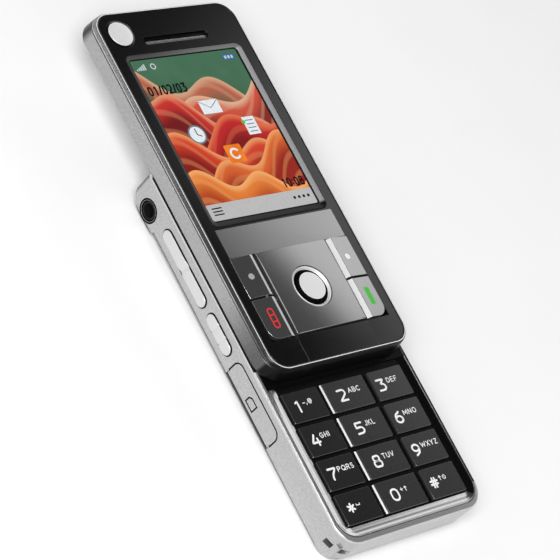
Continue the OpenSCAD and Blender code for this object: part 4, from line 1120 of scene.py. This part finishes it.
# four plain signs around the middle
tile("screen_letter_back", [(-3.0, 5.6), (3.0, 5.6), (3.0, 9.4), (-3.0, 9.4)], L["white"])
rod("screen_letter_fold", [[(-2.9, 9.2), (0, 7.2), (2.9, 9.2)]], 0.10, L["grey"])
tile("screen_tile_orange", rr(-2.6, -8.4, 2.6, -3.4, 0.5), L["orange"])
rod("screen_tile_sign", [arc(0, -5.9, 1.3, 1.3, 40, 320, 14)], 0.30, L["white"])
tile("screen_list_back", [(7.4, -1.6), (11.2, -1.6), (11.2, 3.4), (7.4, 3.4)], L["white"])
rod("screen_list_lines", [[(8.2, 2.4 - i * 1.05), (10.5, 2.4 - i * 1.05)] for i in range(4)], 0.13, L["grey"])
tile("screen_list_tab", rr(6.9, 1.6, 8.0, 2.6, 0.3), L["green"], 15.12)
tile("screen_watch_back", [(x, y) for x, y in arc(-8.2, 0.6, 2.4, 2.4, 0, 360, 28)[:-1]], L["white"])
rod("screen_watch_ring", [arc(-8.2, 0.6, 2.4, 2.4, 0, 360, 28)], 0.22, L["grey"])
rod("screen_watch_hands", [[(-8.2, 2.2), (-8.2, 0.6), (-7.1, 0.0)]], 0.14, L["black"])

# ------------------------------------------------------ signs on menu keys
def key_top(x):
    """Height of the menu keys' faces, which slope down outwards."""
    return 16.14 + (18.72 - abs(x)) / 5.57 * 0.56


def sign_on_key(name, lines, radius, body, mat, x_ref, extra=0.0):
    o = strokes(name, [[(x - x_ref, y) for x, y in l] for l in lines], radius, 0.0, body, mat)
    t = math.atan2(0.56, 5.57) * (1 if x_ref > 0 else -1)
    m = Matrix.Translation(Vector((x_ref * MM, 0, (key_top(x_ref) + extra) * MM))) @ Matrix.Rotation(t, 4, "Y")
    o.data.transform(m)
    return o


for side, node in ((-1, "soft_key_left"), (1, "soft_key_right")):
    sign_on_key("dot_" + node, [[(side * 15.55 - 0.01, UP - 25.1), (side * 15.55 + 0.01, UP - 25.1)]], 0.80, node, M["dot_ink"] if side < 0 else M["white_ink"], side * 15.55)
gx, gy = 15.85, UP - 36.1
sign_on_key("bar_send", [[(gx + i * 0.22, gy - 1.95), (gx + i * 0.22, gy + 1.95)] for i in (-2, -1, 0, 1, 2)], 0.45, "send_key", M["green_ink"], 15.85)
ex, ey = -15.5, UP - 36.3
sign_on_key("pill_end", [ring(ex - 0.72, ey - 2.5, ex + 0.72, ey + 2.5, 0.71, 8), [(ex - 0.7, ey - 0.85), (ex + 0.7, ey - 0.85)], [(ex - 0.7, ey + 0.85), (ex + 0.7, ey + 0.85)]],
            0.19, "end_key", M["red_ink"], -15.5)

# ----------------------------------------------------------------- surroundings
def floor():
    me = bpy.data.meshes.new("floor")
    s = 6.0
    slope = -1.4 / 90.6
    me.from_pydata([(x, y, (y - 0.0224) * slope - 0.00002) for x, y in ((-s, -s), (s, -s), (s, s), (-s, s))], [], [(0, 1, 2, 3)])
    o = bpy.data.objects.new("floor", me)
    k = Net("floor_pale")
    g = k.remap(k.noise(40.0, 3.0), 0.3, 0.7, 0.0, 1.0)
    k.l(k.mix(g, (0.91, 0.91, 0.91), (0.925, 0.925, 0.925)), k.bsdf.inputs["Base Color"])
    k.set(Roughness=0.7, Specular_IOR_Level=0.2)
    me.materials.append(k.m)
    coll.objects.link(o)


floor()


def lamp(name, loc, target, size, size_y, power, shape="RECTANGLE"):
    li = bpy.data.lights.new(name, "AREA")
    li.shape = shape
    li.size = size
    li.size_y = size_y
    li.energy = power
    o = bpy.data.objects.new(name, li)
    o.location = loc
    o.rotation_euler = (Vector(target) - Vector(loc)).to_track_quat("-Z", "Y").to_euler()
    o.visible_camera = False
    coll.objects.link(o)
    return o


lamp("key_soft", (-0.80, -0.30, 1.00), (0, 0, 0), 0.75, 0.75, 19.0)


def studio():
    """White walls up to about 30 degrees, a dark ceiling, and one soft window of light on the far right."""
    w = bpy.data.worlds.new("studio")
    bpy.context.scene.world = w
    w.use_nodes = True
    t = w.node_tree
    bg = t.nodes["Background"]
    tc = t.nodes.new("ShaderNodeTexCoord")
    sep = t.nodes.new("ShaderNodeSeparateXYZ")
    t.links.new(tc.outputs["Generated"], sep.inputs[0])

    def m(op, a, b=None):
        x = t.nodes.new("ShaderNodeMath")
        x.operation = op
        for i, v in enumerate((a, b)):
            if v is None:
                continue
            if isinstance(v, (int, float)):
                x.inputs[i].default_value = v
            else:
                t.links.new(v, x.inputs[i])
        return x.outputs[0]

    def step(v, a, b, lo, hi):
        x = t.nodes.new("ShaderNodeMapRange")
        x.interpolation_type = "SMOOTHSTEP"
        x.inputs["From Min"].default_value = a
        x.inputs["From Max"].default_value = b
        x.inputs["To Min"].default_value = lo
        x.inputs["To Max"].default_value = hi
        t.links.new(v, x.inputs["Value"])
        return x.outputs["Result"]

    elev = m("ARCSINE", sep.outputs["Z"])
    azim = m("ARCTAN2", sep.outputs["Y"], sep.outputs["X"])
    R = math.radians
    walls = step(elev, R(27), R(38), 0.95, 0.0)
    window = m("MULTIPLY", step(elev, R(40.8), R(43.8), 1.0, 0.0),
               m("MULTIPLY", step(azim, R(12.5), R(19.5), 0.12, 1.0), step(azim, R(25.0), R(32.0), 1.0, 0.03)))
    light = m("ADD", m("MAXIMUM", walls, window), 0.04)
    t.links.new(light, bg.inputs["Strength"])
    bg.inputs["Color"].default_value = (1.0, 1.0, 1.0, 1)


studio()
bpy.context.scene.view_settings.view_transform = "Standard"
bpy.context.scene.view_settings.look = "None"
